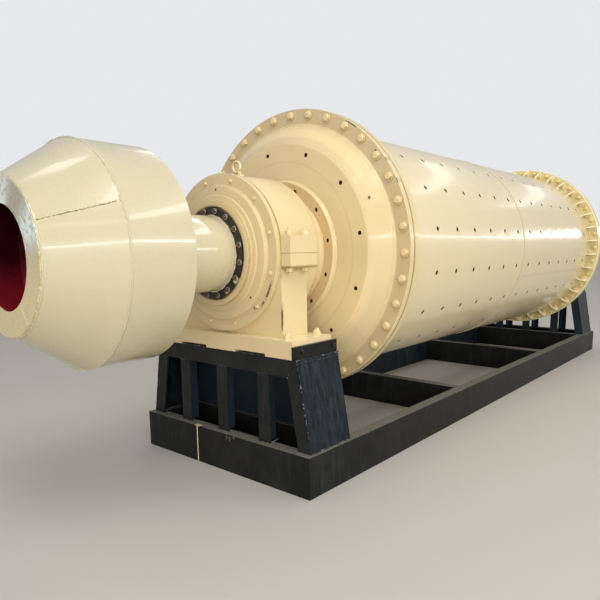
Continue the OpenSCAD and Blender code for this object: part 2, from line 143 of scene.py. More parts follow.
MOUTH_RING_R = 0.397
DRUM_SEAM_X = 1.786
DRUM_REAR_X = 1.411
DRUM_R = 0.610
DRUM_T = 0.012
NECK_R = 0.250
NOSE_X = 0.790
NOSE_R = 0.300
THROAT_R = 0.215
JOURNAL_R = 0.380
JOURNAL_OUT = 0.684
JOURNAL_BACK = 0.324
TRUNNION_NECK_R = 0.372
TRUNNION_FLANGE_R = 0.420
TRUNNION_FLANGE_T = 0.024
TRUNNION_TAPER = 0.036
TRUNNION_SPIGOT_R = 0.400
LOCK_T = 0.018
LOCK_BOLT_R = 0.280
LOCK_BOLTS = 16
ROW_FIRST = 9.8
ROW_STEP = 20
COLUMN_FIRST = 0.598
COLUMN_STEP = 0.3261
COLUMNS = 13
LINER_HOLE_R = 0.017
SKID_REACH = 0.804
GEAR_FACE_X = FEED_X + MILL_LEN - HEAD_FLANGE_T - GEAR_FLANGE_T

# Facets round a turned piece, and round the big heads, flanges and shell
STEPS = 144
BIG_STEPS = 180

# The camera, solved from the photograph
CAMERA_PLACE = Vector((-5.057, -2.942, 1.529))
CAMERA_YAW = 0.7007
CAMERA_PITCH = -0.1524
CAMERA_ROLL = 0.0131
CAMERA_LENS = 33.787
CAMERA_SHIFT = (-0.01863, 0.05758)


def make_camera():
    level = Vector((math.cos(CAMERA_YAW), math.sin(CAMERA_YAW), 0))
    ahead = (level * math.cos(CAMERA_PITCH) + Vector((0, 0, math.sin(CAMERA_PITCH)))).normalized()
    side = Vector((math.sin(CAMERA_YAW), -math.cos(CAMERA_YAW), 0))
    down = ahead.cross(side)
    right = side * math.cos(CAMERA_ROLL) + down * math.sin(CAMERA_ROLL)
    lower = down * math.cos(CAMERA_ROLL) - side * math.sin(CAMERA_ROLL)
    data = bpy.data.cameras.new("photo_camera")
    camera = bpy.data.objects.new("photo_camera", data)
    scene.collection.objects.link(camera)
    turn = Matrix((right, -lower, -ahead)).transposed()
    camera.matrix_world = Matrix.Translation(CAMERA_PLACE) @ turn.to_4x4()
    data.lens = CAMERA_LENS
    data.shift_x, data.shift_y = CAMERA_SHIFT
    data.clip_start, data.clip_end = 0.05, 400
    scene.camera = camera


make_camera()
scene.view_settings.view_transform = "Standard"


class Wire:
    """A value inside a finish; arithmetic on it adds Math nodes."""

    def __init__(self, finish, socket):
        self.finish, self.socket = finish, socket

    def maths(self, operation, *values, clamp=False):
        inputs = dict(enumerate(values))
        return self.finish.node("ShaderNodeMath", {"operation": operation, "use_clamp": clamp}, inputs)

    def __add__(self, other):
        return self.maths("ADD", self, other)

    def __sub__(self, other):
        return self.maths("SUBTRACT", self, other)

    def __mul__(self, other):
        return self.maths("MULTIPLY", self, other)

    def __truediv__(self, other):
        return self.maths("DIVIDE", self, other)

    def __rsub__(self, other):
        return self.maths("SUBTRACT", other, self)

    __radd__ = __add__
    __rmul__ = __mul__

    def clamp(self):
        return self.maths("ADD", self, 0.0, clamp=True)

    def root(self):
        return self.maths("SQRT", self)

    def hypotenuse(self, other):
        """The long side of a right triangle whose other sides are this value and another."""
        return (self * self + other * other).root()

    def size(self):
        return self.maths("ABSOLUTE", self)

    def above(self, edge, soft):
        """0 below the edge and 1 above it, over a soft band."""
        return self.maths("DIVIDE", self - (edge - soft / 2), soft, clamp=True)

    def below(self, edge, soft):
        return 1 - self.above(edge, soft)

    def near(self, middle, width, soft):
        """1 within half a width of the middle, fading over a soft band."""
        return (self - middle).size().below(width / 2, soft)

    def wrapped(self, period):
        """Signed distance from the nearest multiple of a period."""
        return self.maths("WRAP", self, period / 2, -period / 2)

    def from_multiple(self, period):
        """Distance from the nearest multiple of a period."""
        return self.maths("PINGPONG", self, period / 2)


class Finish:
    """A node material. Object coordinates are the frame's own, in metres."""

    def __init__(self, name):
        self.material = bpy.data.materials.new(name)
        self.material.use_nodes = True
        self.tree = self.material.node_tree
        self.tree.nodes.clear()
        self.place = self.node("ShaderNodeTexCoord", output="Object")
        self.facing = self.node("ShaderNodeTexCoord", output="Normal")
        self.x, self.y, self.z = (self.part(self.place, i) for i in range(3))
        self.ahead, self.across, self.up = (self.part(self.facing, i) for i in range(3))

    def node(self, kind, settings=None, inputs=None, output=0):
        made = self.tree.nodes.new(kind)
        for key, value in (settings or {}).items():
            setattr(made, key, value)
        for key, value in (inputs or {}).items():
            if isinstance(value, Wire):
                self.tree.links.new(value.socket, made.inputs[key])
            else:
                made.inputs[key].default_value = value
        return Wire(self, made.outputs[output])

    def part(self, vector, index):
        return self.node("ShaderNodeSeparateXYZ", None, {0: vector}, index)

    def noise(self, scale, detail=3.0, rough=0.55, stretch=None):
        place = self.place
        if stretch:
            place = self.node("ShaderNodeMapping", None, {"Vector": place, "Scale": stretch})
        return self.noise_at(place, scale, detail, rough)

    def noise_at(self, place, scale, detail, rough):
        inputs = {"Vector": place, "Scale": scale, "Detail": detail, "Roughness": rough}
        return self.node("ShaderNodeTexNoise", None, inputs)

    def ragged(self):
        """A fine noise that breaks up the edges of marks."""
        return self.noise(38, 4, 0.7)

    def vector(self, x, y, z):
        return self.node("ShaderNodeCombineXYZ", None, {0: x, 1: y, 2: z})

    def radius(self):
        """Distance from the mill axis."""
        return self.y.hypotenuse(self.z - AXIS_Z)

    def angle(self):
        """Degrees round the mill axis."""
        turn = self.node("ShaderNodeMath", {"operation": "ARCTAN2"}, {0: self.z - AXIS_Z, 1: 0 - self.y})
        return turn * (180 / math.pi)

    def mix(self, factor, first, second):
        """Between two colours."""
        return self.node("ShaderNodeMix", {"data_type": "RGBA"}, {0: factor, 6: first, 7: second}, 2)

    def bump(self, height):
        return self.node("ShaderNodeBump", None, {"Height": height, "Strength": 1.0, "Distance": 1.0})

    def shade(self, **sockets):
        named = {key.replace("_", " "): value for key, value in sockets.items()}
        named["Specular IOR Level"] = named.pop("Specular", 0.5)
        shader = self.node("ShaderNodeBsdfPrincipled", None, named)
        made = self.tree.nodes.new("ShaderNodeOutputMaterial")
        self.tree.links.new(shader.socket, made.inputs["Surface"])
        return self.material


CREAM_SHELL = (0.715, 0.600, 0.372, 1)
CREAM_DRUM = (0.548, 0.482, 0.308, 1)
CREAM_WARM = (0.715, 0.560, 0.300, 1)
CREAM_YELLOW = (0.730, 0.590, 0.290, 1)
CREAM_EDGE = (0.745, 0.640, 0.400, 1)
# Painted shade and dirt in one colour, laid in folds, joints, steps, pockets and on undersides
CREVICE_SHADE_AND_DIRT = (0.360, 0.255, 0.070, 1)
GRIME = (0.100, 0.060, 0.026, 1)
RUST = (0.090, 0.028, 0.010, 1)
BLACK = (0.0080, 0.0083, 0.0078, 1)
BLACK_BLUE = (0.0045, 0.0068, 0.0092, 1)
BARE = (0.300, 0.330, 0.360, 1)
SCUFF = (0.055, 0.075, 0.100, 1)
DUST = (0.190, 0.178, 0.148, 1)
RED = (0.850, 0.042, 0.080, 1)
RED_IN_PAINTED_SHADE = (0.070, 0.004, 0.007, 1)
SEAM_SHADE = (0.260, 0.225, 0.110, 1)
CREAM_NUT = (0.860, 0.690, 0.300, 1)
CREAM_GEAR = (0.980, 0.850, 0.440, 1)
MOUTH_GREY = (0.300, 0.310, 0.250, 1)
MOUTH_PAINTED_REFLECTION = (0.860, 0.960, 0.960, 1)
OILY_BLACK = (0.030, 0.024, 0.020, 1)
OILED_STEEL = (0.075, 0.042, 0.028, 1)
OILED_STEEL_WORN = (0.20, 0.125, 0.090, 1)
BRASS = (0.20, 0.15, 0.08, 1)
BRASS_DARK = (0.08, 0.06, 0.04, 1)
STEEL = (0.62, 0.60, 0.56, 1)
STEEL_DARK = (0.42, 0.40, 0.36, 1)
FLOOR_GREY = (0.55, 0.515, 0.455, 1)
BACKDROP = (0.80, 0.81, 0.83, 1)
SKY_LIGHT = (0.97, 0.98, 1.0, 1)


def tone(colour, factor):
    """A colour made lighter or darker."""
    return tuple(min(1.0, factor * c) for c in colour[:3]) + (1,)


def cream_finish(
    name, marks=None, base=CREAM_WARM, grime=0.3, gloss=0.26, peel=1.0, wave=1.0, sag=0.0, sparkle=0.0,
    coat=0.5, shine=0.5, dents=None,
):
    """Cream gloss paint over steel: brushed unevenly, a little dirty, with the marks a piece asks for.

    Peel, sag and wave are how far the paint bulges, from fine to broad; sparkle breaks up the highlights.
    """
    f = Finish(name)
    wash = f.noise(0.9, 3, 0.5).above(0.5, 0.6)
    streak = f.noise(3.0, 3, 0.6, (1.0, 5.0, 0.7)).above(0.60, 0.4)
    blotch = f.noise(11, 5, 0.6).above(0.66, 0.20)
    speck = f.noise(55, 3, 0.6).above(0.74, 0.05)
    colour = f.mix(wash, base, tone(base, 1.05))
    colour = f.mix(streak * (0.35 * grime), colour, CREAM_WARM)
    colour = f.mix((blotch * 0.10 + speck * 0.30) * grime, colour, GRIME)
    if marks:
        colour = marks(f, colour)
    orange_peel = f.noise(95, 1, 0.5)
    brush = f.noise(26, 2, 0.5, (1.0, 0.5, 1.0))
    wobble = f.noise(3.2, 2, 0.5)
    height = orange_peel * (0.00022 * peel) + brush * (0.0005 * peel) + wobble * (0.0035 * wave)
    if sag:
        height = height + f.noise(8, 2, 0.5) * (0.0022 * sag)
    if sparkle:
        grain = f.noise(130, 3, 0.7)
        height = height + grain * (0.0004 * sparkle)
        coat = grain.above(0.46, 0.16) * (f.noise(9, 2, 0.5).above(0.45, 0.3) * 0.5 + 0.5) * coat
    if dents:
        height = height + dents(f)
    roughness = gloss + f.noise(7, 3, 0.6) * 0.12 + blotch * (0.25 * grime)
    return f.shade(
        Base_Color=colour, Roughness=roughness, Normal=f.bump(height), Specular=shine, Coat_Weight=coat,
        Coat_Roughness=0.05,
    )


def black_finish(name, tint=BLACK, dust=1.0, scuff=0.3, bare=0.0, brushed=(1.0, 1.0, 0.12), marks=None):
    """Black skid paint: dust on what faces up, thin scuffs where it was handled, bare ticks on welds."""
    f = Finish(name)
    cloud = f.noise(4.5, 5, 0.65)
    grit = f.noise(60, 3, 0.7)
    colour = f.mix(cloud.above(0.5, 0.5), tint, tone(tint, 1.8))
    top = f.up.above(0.75, 0.3) * (0.35 + 0.60 * grit.above(0.42, 0.3)) * dust
    haze = cloud.above(0.60, 0.3) * 0.04 * dust
    scratch = f.noise(20, 4, 0.7, brushed).above(0.62, 0.14) * scuff
    colour = f.mix((scratch * 0.5).clamp(), colour, SCUFF)
    if marks:
        colour = marks(f, colour)
    if bare:
        colour = f.mix((f.noise(75, 3, 0.7).above(0.60, 0.08) * bare).clamp(), colour, BARE)
    colour = f.mix((top + haze).clamp(), colour, DUST)
    normal = f.bump(f.noise(120, 2, 0.5) * 0.0004 + f.noise(9, 3, 0.6) * 0.0020)
    roughness = (0.30 + cloud * 0.24 + top * 0.45).clamp()
    return f.shade(Base_Color=colour, Roughness=roughness, Normal=normal, Specular=0.14)


def plain_finish(name, first, second, rough, metal=0.0, scale=20, grain=0.001):
    """Two tones mottled together, for small pieces."""
    f = Finish(name)
    mottle = f.noise(scale, 4, 0.65)
    colour = f.mix(mottle.above(0.5, 0.35), first, second)
    normal = f.bump(f.noise(scale * 5, 3, 0.6) * grain)
    return f.shade(Base_Color=colour, Roughness=(rough + mottle * 0.2).clamp(), Normal=normal, Metallic=metal)


FEED = Matrix.Translation((FEED_X, 0, 0))
ENDS = {
    "feed": FEED,
    "discharge": Matrix.Translation((FEED_X + MILL_LEN, 0, 0)) @ Matrix.Diagonal((-1, 1, 1, 1)),
}
MILL, SKID = "mill", "skid"


def round_axis(degrees):
    """Turns a shape drawn at angle 0 up round the mill axis."""
    to_axis = Matrix.Translation((0, 0, AXIS_Z))
    return to_axis @ Matrix.Rotation(-math.radians(degrees), 4, "X") @ to_axis.inverted()


def at_angle(out, radius, degrees):
    """A point given by its distance along X, its radius and its angle."""
    a = math.radians(degrees)
    return Vector((out, -radius * math.cos(a), AXIS_Z + radius * math.sin(a)))


def soften(bm, width, segments=2, angle=28):
    """Rounds every edge sharper than an angle."""
    sharp = [e for e in bm.edges if len(e.link_faces) == 2 and e.calc_face_angle(0) > math.radians(angle)]
    bmesh.ops.bevel(
        bm, geom=sharp, offset=width, offset_type="OFFSET", segments=segments, profile=0.5,
        affect="EDGES", clamp_overlap=True, material=-1,
    )


def turned(profile, steps=STEPS, soft=0.0):
    """A ring spun round the mill axis from a closed profile of (x, radius) points."""
    bm = bmesh.new()
    corners = [bm.verts.new((x, 0, AXIS_Z + r)) for x, r in profile]
    edges = [bm.edges.new((a, b)) for a, b in zip(corners, corners[1:] + corners[:1])]
    bmesh.ops.spin(
        bm, geom=corners + edges, cent=(0, 0, AXIS_Z), axis=(1, 0, 0), angle=math.tau, steps=steps,
        use_merge=True,
    )
    bmesh.ops.recalc_face_normals(bm, faces=bm.faces)
    if soft:
        soften(bm, soft, angle=24)
    return bm


def ring_profile(x0, x1, inner, outer):
    """The closed profile of a plain ring, for turned()."""
    return [(x0, inner), (x0, outer), (x1, outer), (x1, inner)]


def add_box(bm, low, high):
    """A box between two opposite corners."""
    low, high = Vector(low), Vector(high)
    place = Matrix.Translation((low + high) / 2) @ Matrix.Diagonal((*(high - low), 1))
    return bmesh.ops.create_cube(bm, size=1, matrix=place)["verts"]


def add_rod(bm, place, radius, length, sides, top_radius=None):
    """A rod along the local Z of a matrix, from its origin up."""
    top = radius if top_radius is None else top_radius
    matrix = place @ Matrix.Translation((0, 0, length / 2))
    made = bmesh.ops.create_cone(
        bm, cap_ends=True, segments=sides, radius1=radius, radius2=top, depth=length, matrix=matrix
    )
    return made["verts"]


def rods(each):
    """Short rods in one shape, each given by its start, direction, radius, length and sides."""
    bm = bmesh.new()
    for start, direction, radius, length, sides in each:
        add_rod(bm, along(start, direction), radius, length, sides)
    return bm


def along(start, direction):
    """A matrix at a point with its Z along a direction."""
    turn = Vector(direction).to_track_quat("Z", "Y").to_matrix()
    return Matrix.Translation(Vector(start)) @ turn.to_4x4()


def plate(outline, thickness):
    """A flat plate: an outline in X-Z at y = -thickness / 2, pushed out along +Y."""
    bm = bmesh.new()
    face = bm.faces.new([bm.verts.new((x, -thickness / 2, z)) for x, z in outline])
    pushed = bmesh.ops.extrude_face_region(bm, geom=[face])["geom"]
    corners = [g for g in pushed if isinstance(g, bmesh.types.BMVert)]
    bmesh.ops.translate(bm, vec=(0, thickness, 0), verts=corners)
    bmesh.ops.recalc_face_normals(bm, faces=bm.faces)
    return bm


def template(bm):
    """A mesh that is stamped into other shapes."""
    mesh = bpy.data.meshes.new("template")
    bm.to_mesh(mesh)
    bm.free()
    return mesh


def stamp(bm, shape, matrix):
    """Adds a copy of a template mesh at a place."""
    before = len(bm.verts)
    bm.from_mesh(shape)
    bm.verts.ensure_lookup_table()
    bmesh.ops.transform(bm, matrix=matrix, verts=bm.verts[before:])


def stamped(shape, matrices):
    """Copies of a template mesh at many places."""
    bm = bmesh.new()
    for matrix in matrices:
        stamp(bm, shape, matrix)
    return bm


def set_normals(mesh, limit=50, radial=False):
    """Lets big faces lead the shading at their corners; on a round plate the normals follow the circle."""
    cosine = math.cos(math.radians(limit))
    around = [[] for _ in mesh.vertices]
    for face in mesh.polygons:
        for corner in face.vertices:
            around[corner].append((face.normal.copy(), face.area))
    normals = []
    for face in mesh.polygons:
        for corner in face.vertices:
            place = mesh.vertices[corner].co
            outward = Vector((0, place.y, place.z - AXIS_Z)).normalized()
            if radial and abs(face.normal.dot(outward)) > 0.9 and abs(face.normal.x) < 0.1:
                normals.append(outward if face.normal.dot(outward) > 0 else -outward)
                continue
            total = Vector()
            for normal, area in around[corner]:
                if normal.dot(face.normal) > cosine:
                    total += normal * area
            normals.append(total.normalized() if total.length > 1e-12 else face.normal.copy())
    mesh.normals_split_custom_set(normals)


def finish_piece(
    name, bm, material, body, cad=None, place=FEED, holes=None, radial=False, inside=None
):
    """Turns a bmesh into a piece that rides on a body, in place of a CAD node where one is given.

    Holes are solids cut out of it. Inside picks, by centre and normal, the faces with the second material.
    """
    if place is not None:
        bmesh.ops.transform(bm, matrix=place, verts=bm.verts)
    bmesh.ops.recalc_face_normals(bm, faces=bm.faces)
    if inside:
        for face in bm.faces:
            face.material_index = 1 if inside(face.calc_center_median(), face.normal) else 0
    mesh = bpy.data.meshes.new(name)
    bm.to_mesh(mesh)
    bm.free()
    for one in material if isinstance(material, (list, tuple)) else [material]:
        mesh.materials.append(one)
    made = bpy.data.objects.new(name, mesh)
    scene.collection.objects.link(made)
    if holes is not None:
        cut(made, holes, place)
    made.data.shade_smooth()
    set_normals(made.data, radial=radial)
    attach(made, body)
    if cad:
        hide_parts(cad)


def cut(piece, cutter_bm, place):
    """Cuts a bmesh's solids out of a piece."""
    if place is not None:
        bmesh.ops.transform(cutter_bm, matrix=place, verts=cutter_bm.verts)
    bmesh.ops.recalc_face_normals(cutter_bm, faces=cutter_bm.faces)
    cutter = bpy.data.objects.new("cutter", template(cutter_bm))
    scene.collection.objects.link(cutter)
    boolean = piece.modifiers.new("holes", "BOOLEAN")
    boolean.object, boolean.operation, boolean.solver = cutter, "DIFFERENCE", "EXACT"
    mesh = bpy.data.meshes.new_from_object(piece.evaluated_get(bpy.context.evaluated_depsgraph_get()))
    piece.modifiers.clear()
    piece.data = mesh
    bpy.data.objects.remove(cutter)


def dressed(node, material, soft):
    """A fixed CAD node's own shape with its edges rounded."""
    bm = bmesh.new()
    bm.from_mesh(nodes[node].data)
    bmesh.ops.remove_doubles(bm, verts=bm.verts, dist=0.00002)
    bmesh.ops.dissolve_limit(bm, angle_limit=math.radians(0.4), verts=bm.verts, edges=bm.edges)
    if soft:
        soften(bm, soft, angle=30)
    finish_piece(node + "_painted", bm, material, SKID, node, None)


def bead(name, runs, radius, material, body=MILL, place=FEED, ripple=0.35, closed=False):
    """Weld beads: thin rippled tubes along runs of points."""
    data = bpy.data.curves.new(name, "CURVE")
    data.dimensions = "3D"
    data.bevel_depth = radius
    data.bevel_resolution = 1
    data.use_fill_caps = True
    for run in runs:
        spline = data.splines.new("POLY")
        spline.points.add(len(run) - 1)
        spline.use_cyclic_u = closed
        for i, (point, spot) in enumerate(zip(spline.points, run)):
            point.co = (*spot, 1)
            point.radius = 1 + ripple * (dice.random() - 0.5) + (ripple / 2) * (i % 2)
    shape = bpy.data.objects.new(name + "_line", data)
    scene.collection.objects.link(shape)
    mesh = bpy.data.meshes.new_from_object(shape.evaluated_get(bpy.context.evaluated_depsgraph_get()))
    bpy.data.objects.remove(shape)
    bm = bmesh.new()
    bm.from_mesh(mesh)
    finish_piece(name, bm, material, body, None, place)


def line(start, end, pitch, wander=0.0):
    """Points from start to end at a pitch, each a little off the line."""
    start, end = Vector(start), Vector(end)
    count = max(2, round((end - start).length / pitch))
    return [
        start.lerp(end, i / count) + Vector([wander * (dice.random() - 0.5) for _ in range(3)])
        for i in range(count + 1)
    ]


def hoop(out, radius, pitch, wander=0.0, drift=0.0, first=0.0, last=360.0):
    """Points round the axis at a pitch; wander shakes them and drift bends the line along X."""
    count = round(radius * math.radians(last - first) / pitch)
    return [
        at_angle(
            out + drift * math.sin(3 * math.tau * i / count) + wander * (dice.random() - 0.5),
            radius + wander * (dice.random() - 0.5) / 2,
            first + (last - first) * i / count,
        )
        for i in range(count + (last - first < 360))
    ]


# Marks that dirt, rust and thin paint leave on each kind of piece, and painted light and shade

# Smears on the head flange's face: radius, angle, degrees long and metres wide
RIM_SMEARS = (
    (1.020, 59.65, 0.7, 0.034), (1.036, 56.6, 4.6, 0.008), (1.016, 40.9, 1.4, 0.014),
    (1.041, 35.6, 1.6, 0.005), (1.041, 26.4, 2.0, 0.005),
)


def bolt_shade(f, radius, angle):
    """A crescent of painted shadow and dirt on the lower right of each flange bolt, seen from the feed end.
    """
    outward = radius - BOLT_CIRCLE_R
    round_it = (angle - BOLT_PHASE).wrapped(360 / BOLT_COUNT) * (math.pi / 180 * BOLT_CIRCLE_R)
    away = outward.hypotenuse(round_it)
    cosine, sine = (0 - f.y) / radius, (f.z - AXIS_Z) / radius
    lower_right = outward * (cosine - sine) - round_it * (sine + cosine)
    return away.near(WASHER_R + 0.0035, 0.006, 0.006) * (lower_right / away).above(0.55, 0.7)


def head_marks(f, colour):
    """Painted light on the hub, low on the disc and as a highlight atop the cone; a darker flange face;
    painted shade and dirt in the folds, the flange groove and under each bolt; bare hole walls and smears on
    the rim.
    """
    radius, angle, ragged = f.radius(), f.angle(), f.ragged()
    # Painted light: the disc paler low down, and a painted highlight atop the cone
    low = f.z.below(AXIS_Z - 0.20, 0.30) * radius.below(DISC_R + 0.036, 0.06) * 0.85
    high = f.z.above(AXIS_Z + 0.45, 0.30) * radius.near(CONE_R - 0.045, 0.06, 0.03) * 0.6
    colour = f.mix((low + high).clamp(), colour, tone(CREAM_WARM, 1.25))
    # Painted light on the hub, where the bearing shades it
    colour = f.mix(radius.below(HUB_R - 0.004, 0.012) * 0.8, colour, tone(CREAM_WARM, 1.15))
    flange_face = radius.above(CONE_R + 0.030, 0.012) * f.ahead.below(-0.9, 0.2)
    colour = f.mix(flange_face * 0.6, colour, tone(CREAM_WARM, 0.72))

    # Painted shade and dirt in the folds
    at_foot = radius.near(CONE_R + 0.027, 0.006, 0.010) * ragged.above(0.40, 0.3) * 0.40
    at_edge = radius.near(DISC_R + 0.014, 0.004, 0.008) * ragged.above(0.45, 0.3) * 0.22
    at_hub = radius.near(HUB_R + 0.012, 0.006, 0.012) * ragged.above(0.45, 0.3) * 0.30
    fold = radius.near(HUB_FOOT_R, 0.006, 0.020) * 0.22
    colour = f.mix((at_foot + at_edge + at_hub + fold).clamp(), colour, CREVICE_SHADE_AND_DIRT)

    from_hole = (angle - HEAD_HOLE_PHASE).from_multiple(360 / HEAD_HOLES) * (math.pi / 180) * radius
    golden = (radius - OUTER_HOLE_R).hypotenuse(from_hole).near(HEAD_HOLE_R + 0.004, 0.002, 0.006)
    colour = f.mix(golden * 0.35, colour, CREAM_EDGE)
    at_holes = radius.near(OUTER_HOLE_R, 0.040, 0.004) + radius.near(INNER_HOLE_R, 0.040, 0.004)
    colour = f.mix(f.ahead.size().below(0.45, 0.2) * at_holes, colour, GRIME)

    # Painted shade and dirt in the groove between the flanges, and a painted shadow under each bolt
    groove = f.x.near(FEED_X + HEAD_FLANGE_T, 0.018, 0.004) * radius.above(FLANGE_R - 0.010, 0.004) * 0.9
    under_bolt = bolt_shade(f, radius, angle) * ragged.above(0.30, 0.3) * 0.65
    colour = f.mix((groove + under_bolt).clamp(), colour, CREVICE_SHADE_AND_DIRT)
    for smear_r, smear_angle, degrees, wide in RIM_SMEARS:
        smear = radius.near(smear_r, wide, 0.006) * angle.near(smear_angle, degrees, 0.3)
        colour = f.mix(smear * ragged.above(0.36, 0.1) * 0.95, colour, tone(GRIME, 0.6))
    return colour


def from_liner_hole(f):
    """Distance over the shell from the nearest liner bolt hole."""
    ahead = (f.x - (FEED_X + COLUMN_FIRST)).from_multiple(COLUMN_STEP)
    round_it = (f.angle() - ROW_FIRST).from_multiple(ROW_STEP) * (math.pi / 180 * SHELL_R)
    return ahead.hypotenuse(round_it)


def shell_dents(f):
    """The plate is drawn in a little round each hole."""
    return from_liner_hole(f).above(0.045, 0.09) * 0.0016


def shell_marks(f, colour):
    """Dirt and painted shade round the liner bolt holes and along the flange, dirt inside the holes, and dirt
    in drips low down.
    """
    ragged = f.ragged()
    at_hole = from_liner_hole(f).near(LINER_HOLE_R + 0.003, 0.004, 0.006) * ragged.above(0.40, 0.2) * 0.8
    colour = f.mix(at_hole, colour, CREVICE_SHADE_AND_DIRT)
    colour = f.mix(f.radius().below(SHELL_R - 0.0022, 0.0012), colour, tone(GRIME, 0.7))
    at_flange = f.x.near(FEED_X + HEAD_FLANGE_T + SHELL_FLANGE_T, 0.004, 0.012) * 0.45
    drip = f.noise_at(f.vector(f.x * 22, f.angle() * 0.05, 0.0), 1.0, 4, 0.7).above(0.66, 0.10)
    low = f.z.below(AXIS_Z - 0.2, 0.7)
    return f.mix((at_flange * ragged.above(0.4, 0.3) + drip * low * 0.16).clamp(), colour, CREVICE_SHADE_AND_DIRT)


def flange_marks(f, colour):
    """Painted shade and dirt in the joint between the head's flange and the shell's."""
    joint = f.x.near(FEED_X + HEAD_FLANGE_T, 0.018, 0.006) * (0.65 + 0.35 * f.ragged().above(0.4, 0.3))
    return f.mix(joint.clamp(), colour, CREVICE_SHADE_AND_DIRT)


def gear_marks(f, colour):
    """Painted shade and yellow dirt down in the pockets, with grime spots, and clean outer edges."""
    in_pocket = f.x.below(GEAR_FACE_X + 0.004, 0.004) * f.radius().below(FLANGE_R - 0.004, 0.006)
    dirt = in_pocket * (0.10 + 0.42 * f.noise(11, 4, 0.7).above(0.46, 0.28))
    colour = f.mix(dirt.clamp(), colour, CREVICE_SHADE_AND_DIRT)
    return f.mix(in_pocket * f.noise(24, 4, 0.7).above(0.62, 0.10) * 0.25, colour, GRIME)


def rib_marks(f, colour):
    """The rib paint's paleness stands in for light on the edges; painted shade and dirt only down where a rib
    meets the shell and the flange.
    """
    radius = f.radius()
    deep = radius.below(SHELL_R + 0.040, 0.03) * f.x.above(GEAR_FACE_X - GUSSET_LEN * 0.8, 0.05)
    side = f.ahead.size().below(0.4, 0.2) * radius.below(FLANGE_R - GUSSET_DROP - 0.004, 0.004)
    return f.mix((deep * side * (0.40 + 0.5 * f.ragged().above(0.4, 0.3))).clamp(), colour, CREVICE_SHADE_AND_DIRT)


def bearing_marks(f, colour):
    """Painted light on the base's top, a broken dark line down the block's front corners, painted shade and
    dirt under and beside the lugs, along the cover and at the foot, and rust under the lugs.
    """
    ragged = f.ragged()
    # Painted light: the base's top is paler, as if lit from above
    painted_light_on_base = f.up.above(0.9, 0.1) * f.z.below(BASE_TOP + 0.01, 0.01)
    colour = f.mix(painted_light_on_base, colour, tone(CREAM_EDGE, 1.3))
    beside, above_axis = f.y.size() - BLOCK_HALF, f.z - AXIS_Z
    front = f.x.near(FEED_X + LUG_X[0], 0.022, 0.006)
    corner = beside.size().below(0.008, 0.005) * front * f.z.near(BASE_TOP + 0.223, 0.35, 0.04)
    broken = f.noise(16, 3, 0.6, (1.0, 1.0, 0.5)).above(0.44, 0.10)
    colour = f.mix((corner * broken * 0.95).clamp(), colour, GRIME)
    joint = above_axis.size().below(0.0022, 0.0016) * beside.above(-0.06, 0.01)
    colour = f.mix(joint * 0.6, colour, GRIME)
    on_lug = beside.above(0.002, 0.004)
    # Painted shade and dirt under the lugs, beside them, along the cover and at the foot; rust under the lugs
    under = f.z.near(AXIS_Z - LUG_DOWN, 0.026, 0.012) * on_lug * ragged.above(0.34, 0.12)
    behind = beside.near(0.0, 0.006, 0.008) * above_axis.near(0.01, 0.20, 0.01) * front * 0.6
    on_barrel = f.radius().near(BARREL_R, 0.020, 0.004) * f.ahead.size().below(0.6, 0.2)
    at_cover = f.x.near(FEED_X - BARREL_OUT + 0.012, 0.016, 0.004) * on_barrel * 0.95
    foot = f.z.near(BASE_TOP, 0.004, 0.006) * ragged.above(0.52, 0.2) * 0.25
    colour = f.mix((under + behind + at_cover + foot).clamp(), colour, CREVICE_SHADE_AND_DIRT)
    return f.mix(under * 0.2, colour, RUST)


def bolt_marks(f, colour):
    """Painted shade and dirt on the undersides."""
    return f.mix(f.up.below(-0.35, 0.4) * (0.35 + 0.4 * f.ragged().above(0.4, 0.3)), colour, CREVICE_SHADE_AND_DIRT)


def pedestal_marks(f, colour):
    """Blue-black panels behind the posts, brushed blue-black side plates, a scuffed post."""
    middle = FEED_X + MILL_LEN / 2
    behind = (f.x - middle).size().below(MILL_LEN / 2 + PED_OUT - 0.012, 0.004)
    sideways = f.across.size().above(0.75, 0.2)
    on_side = sideways * f.y.size().above(PED_HALF - 0.01, 0.01)
    colour = f.mix(behind, colour, tone(BLACK_BLUE, 4.2))
    colour = f.mix(on_side, colour, tone(BLACK_BLUE, 1.1))
    strokes = f.noise(34, 4, 0.7, (1.0, 1.0, 0.10)).above(0.52, 0.22)
    patch = f.noise(5, 3, 0.6, (1.0, 1.0, 0.5)).above(0.46, 0.3)
    colour = f.mix((on_side * strokes * (0.05 + 0.30 * patch)).clamp(), colour, SCUFF)
    post_face = f.y + (POST_PITCH - POST_W / 2 - 0.004)
    on_post = post_face.size().below(0.012, 0.006) * f.z.near(0.60, 0.20, 0.05)
    return f.mix((on_post * sideways * 0.6).clamp(), colour, SCUFF)


def cover_marks(f, colour):
    """Painted shade and dirt round the bore and in the steps, rust along the lower right of the rim and
    beside a bolt.
    """
    radius, angle, ragged = f.radius(), f.angle(), f.ragged()
    bore = radius.near(COVER_NOSE_R - 0.0025, 0.002, 0.003) * (0.70 + 0.3 * ragged.above(0.45, 0.2))
    steps = radius.near(COVER_STEP_R + 0.004, 0.003, 0.005) + radius.near(COVER_LAND_R + 0.003, 0.003, 0.005)
    colour = f.mix((bore + steps * 0.28).clamp(), colour, CREVICE_SHADE_AND_DIRT)
    rim = radius.near(COVER_RIM_R - 0.020, 0.016, 0.010) * angle.near(-31, 20, 5)
    near_bolt = radius.near(COVER_LAND_R + 0.023, 0.036, 0.02) * angle.near(-46, 10, 6)
    rust = rim * f.noise(30, 4, 0.7).above(0.45, 0.08) + near_bolt * f.noise(45, 3, 0.7).above(0.55, 0.05)
    return f.mix((rust * 0.95).clamp(), colour, RUST)


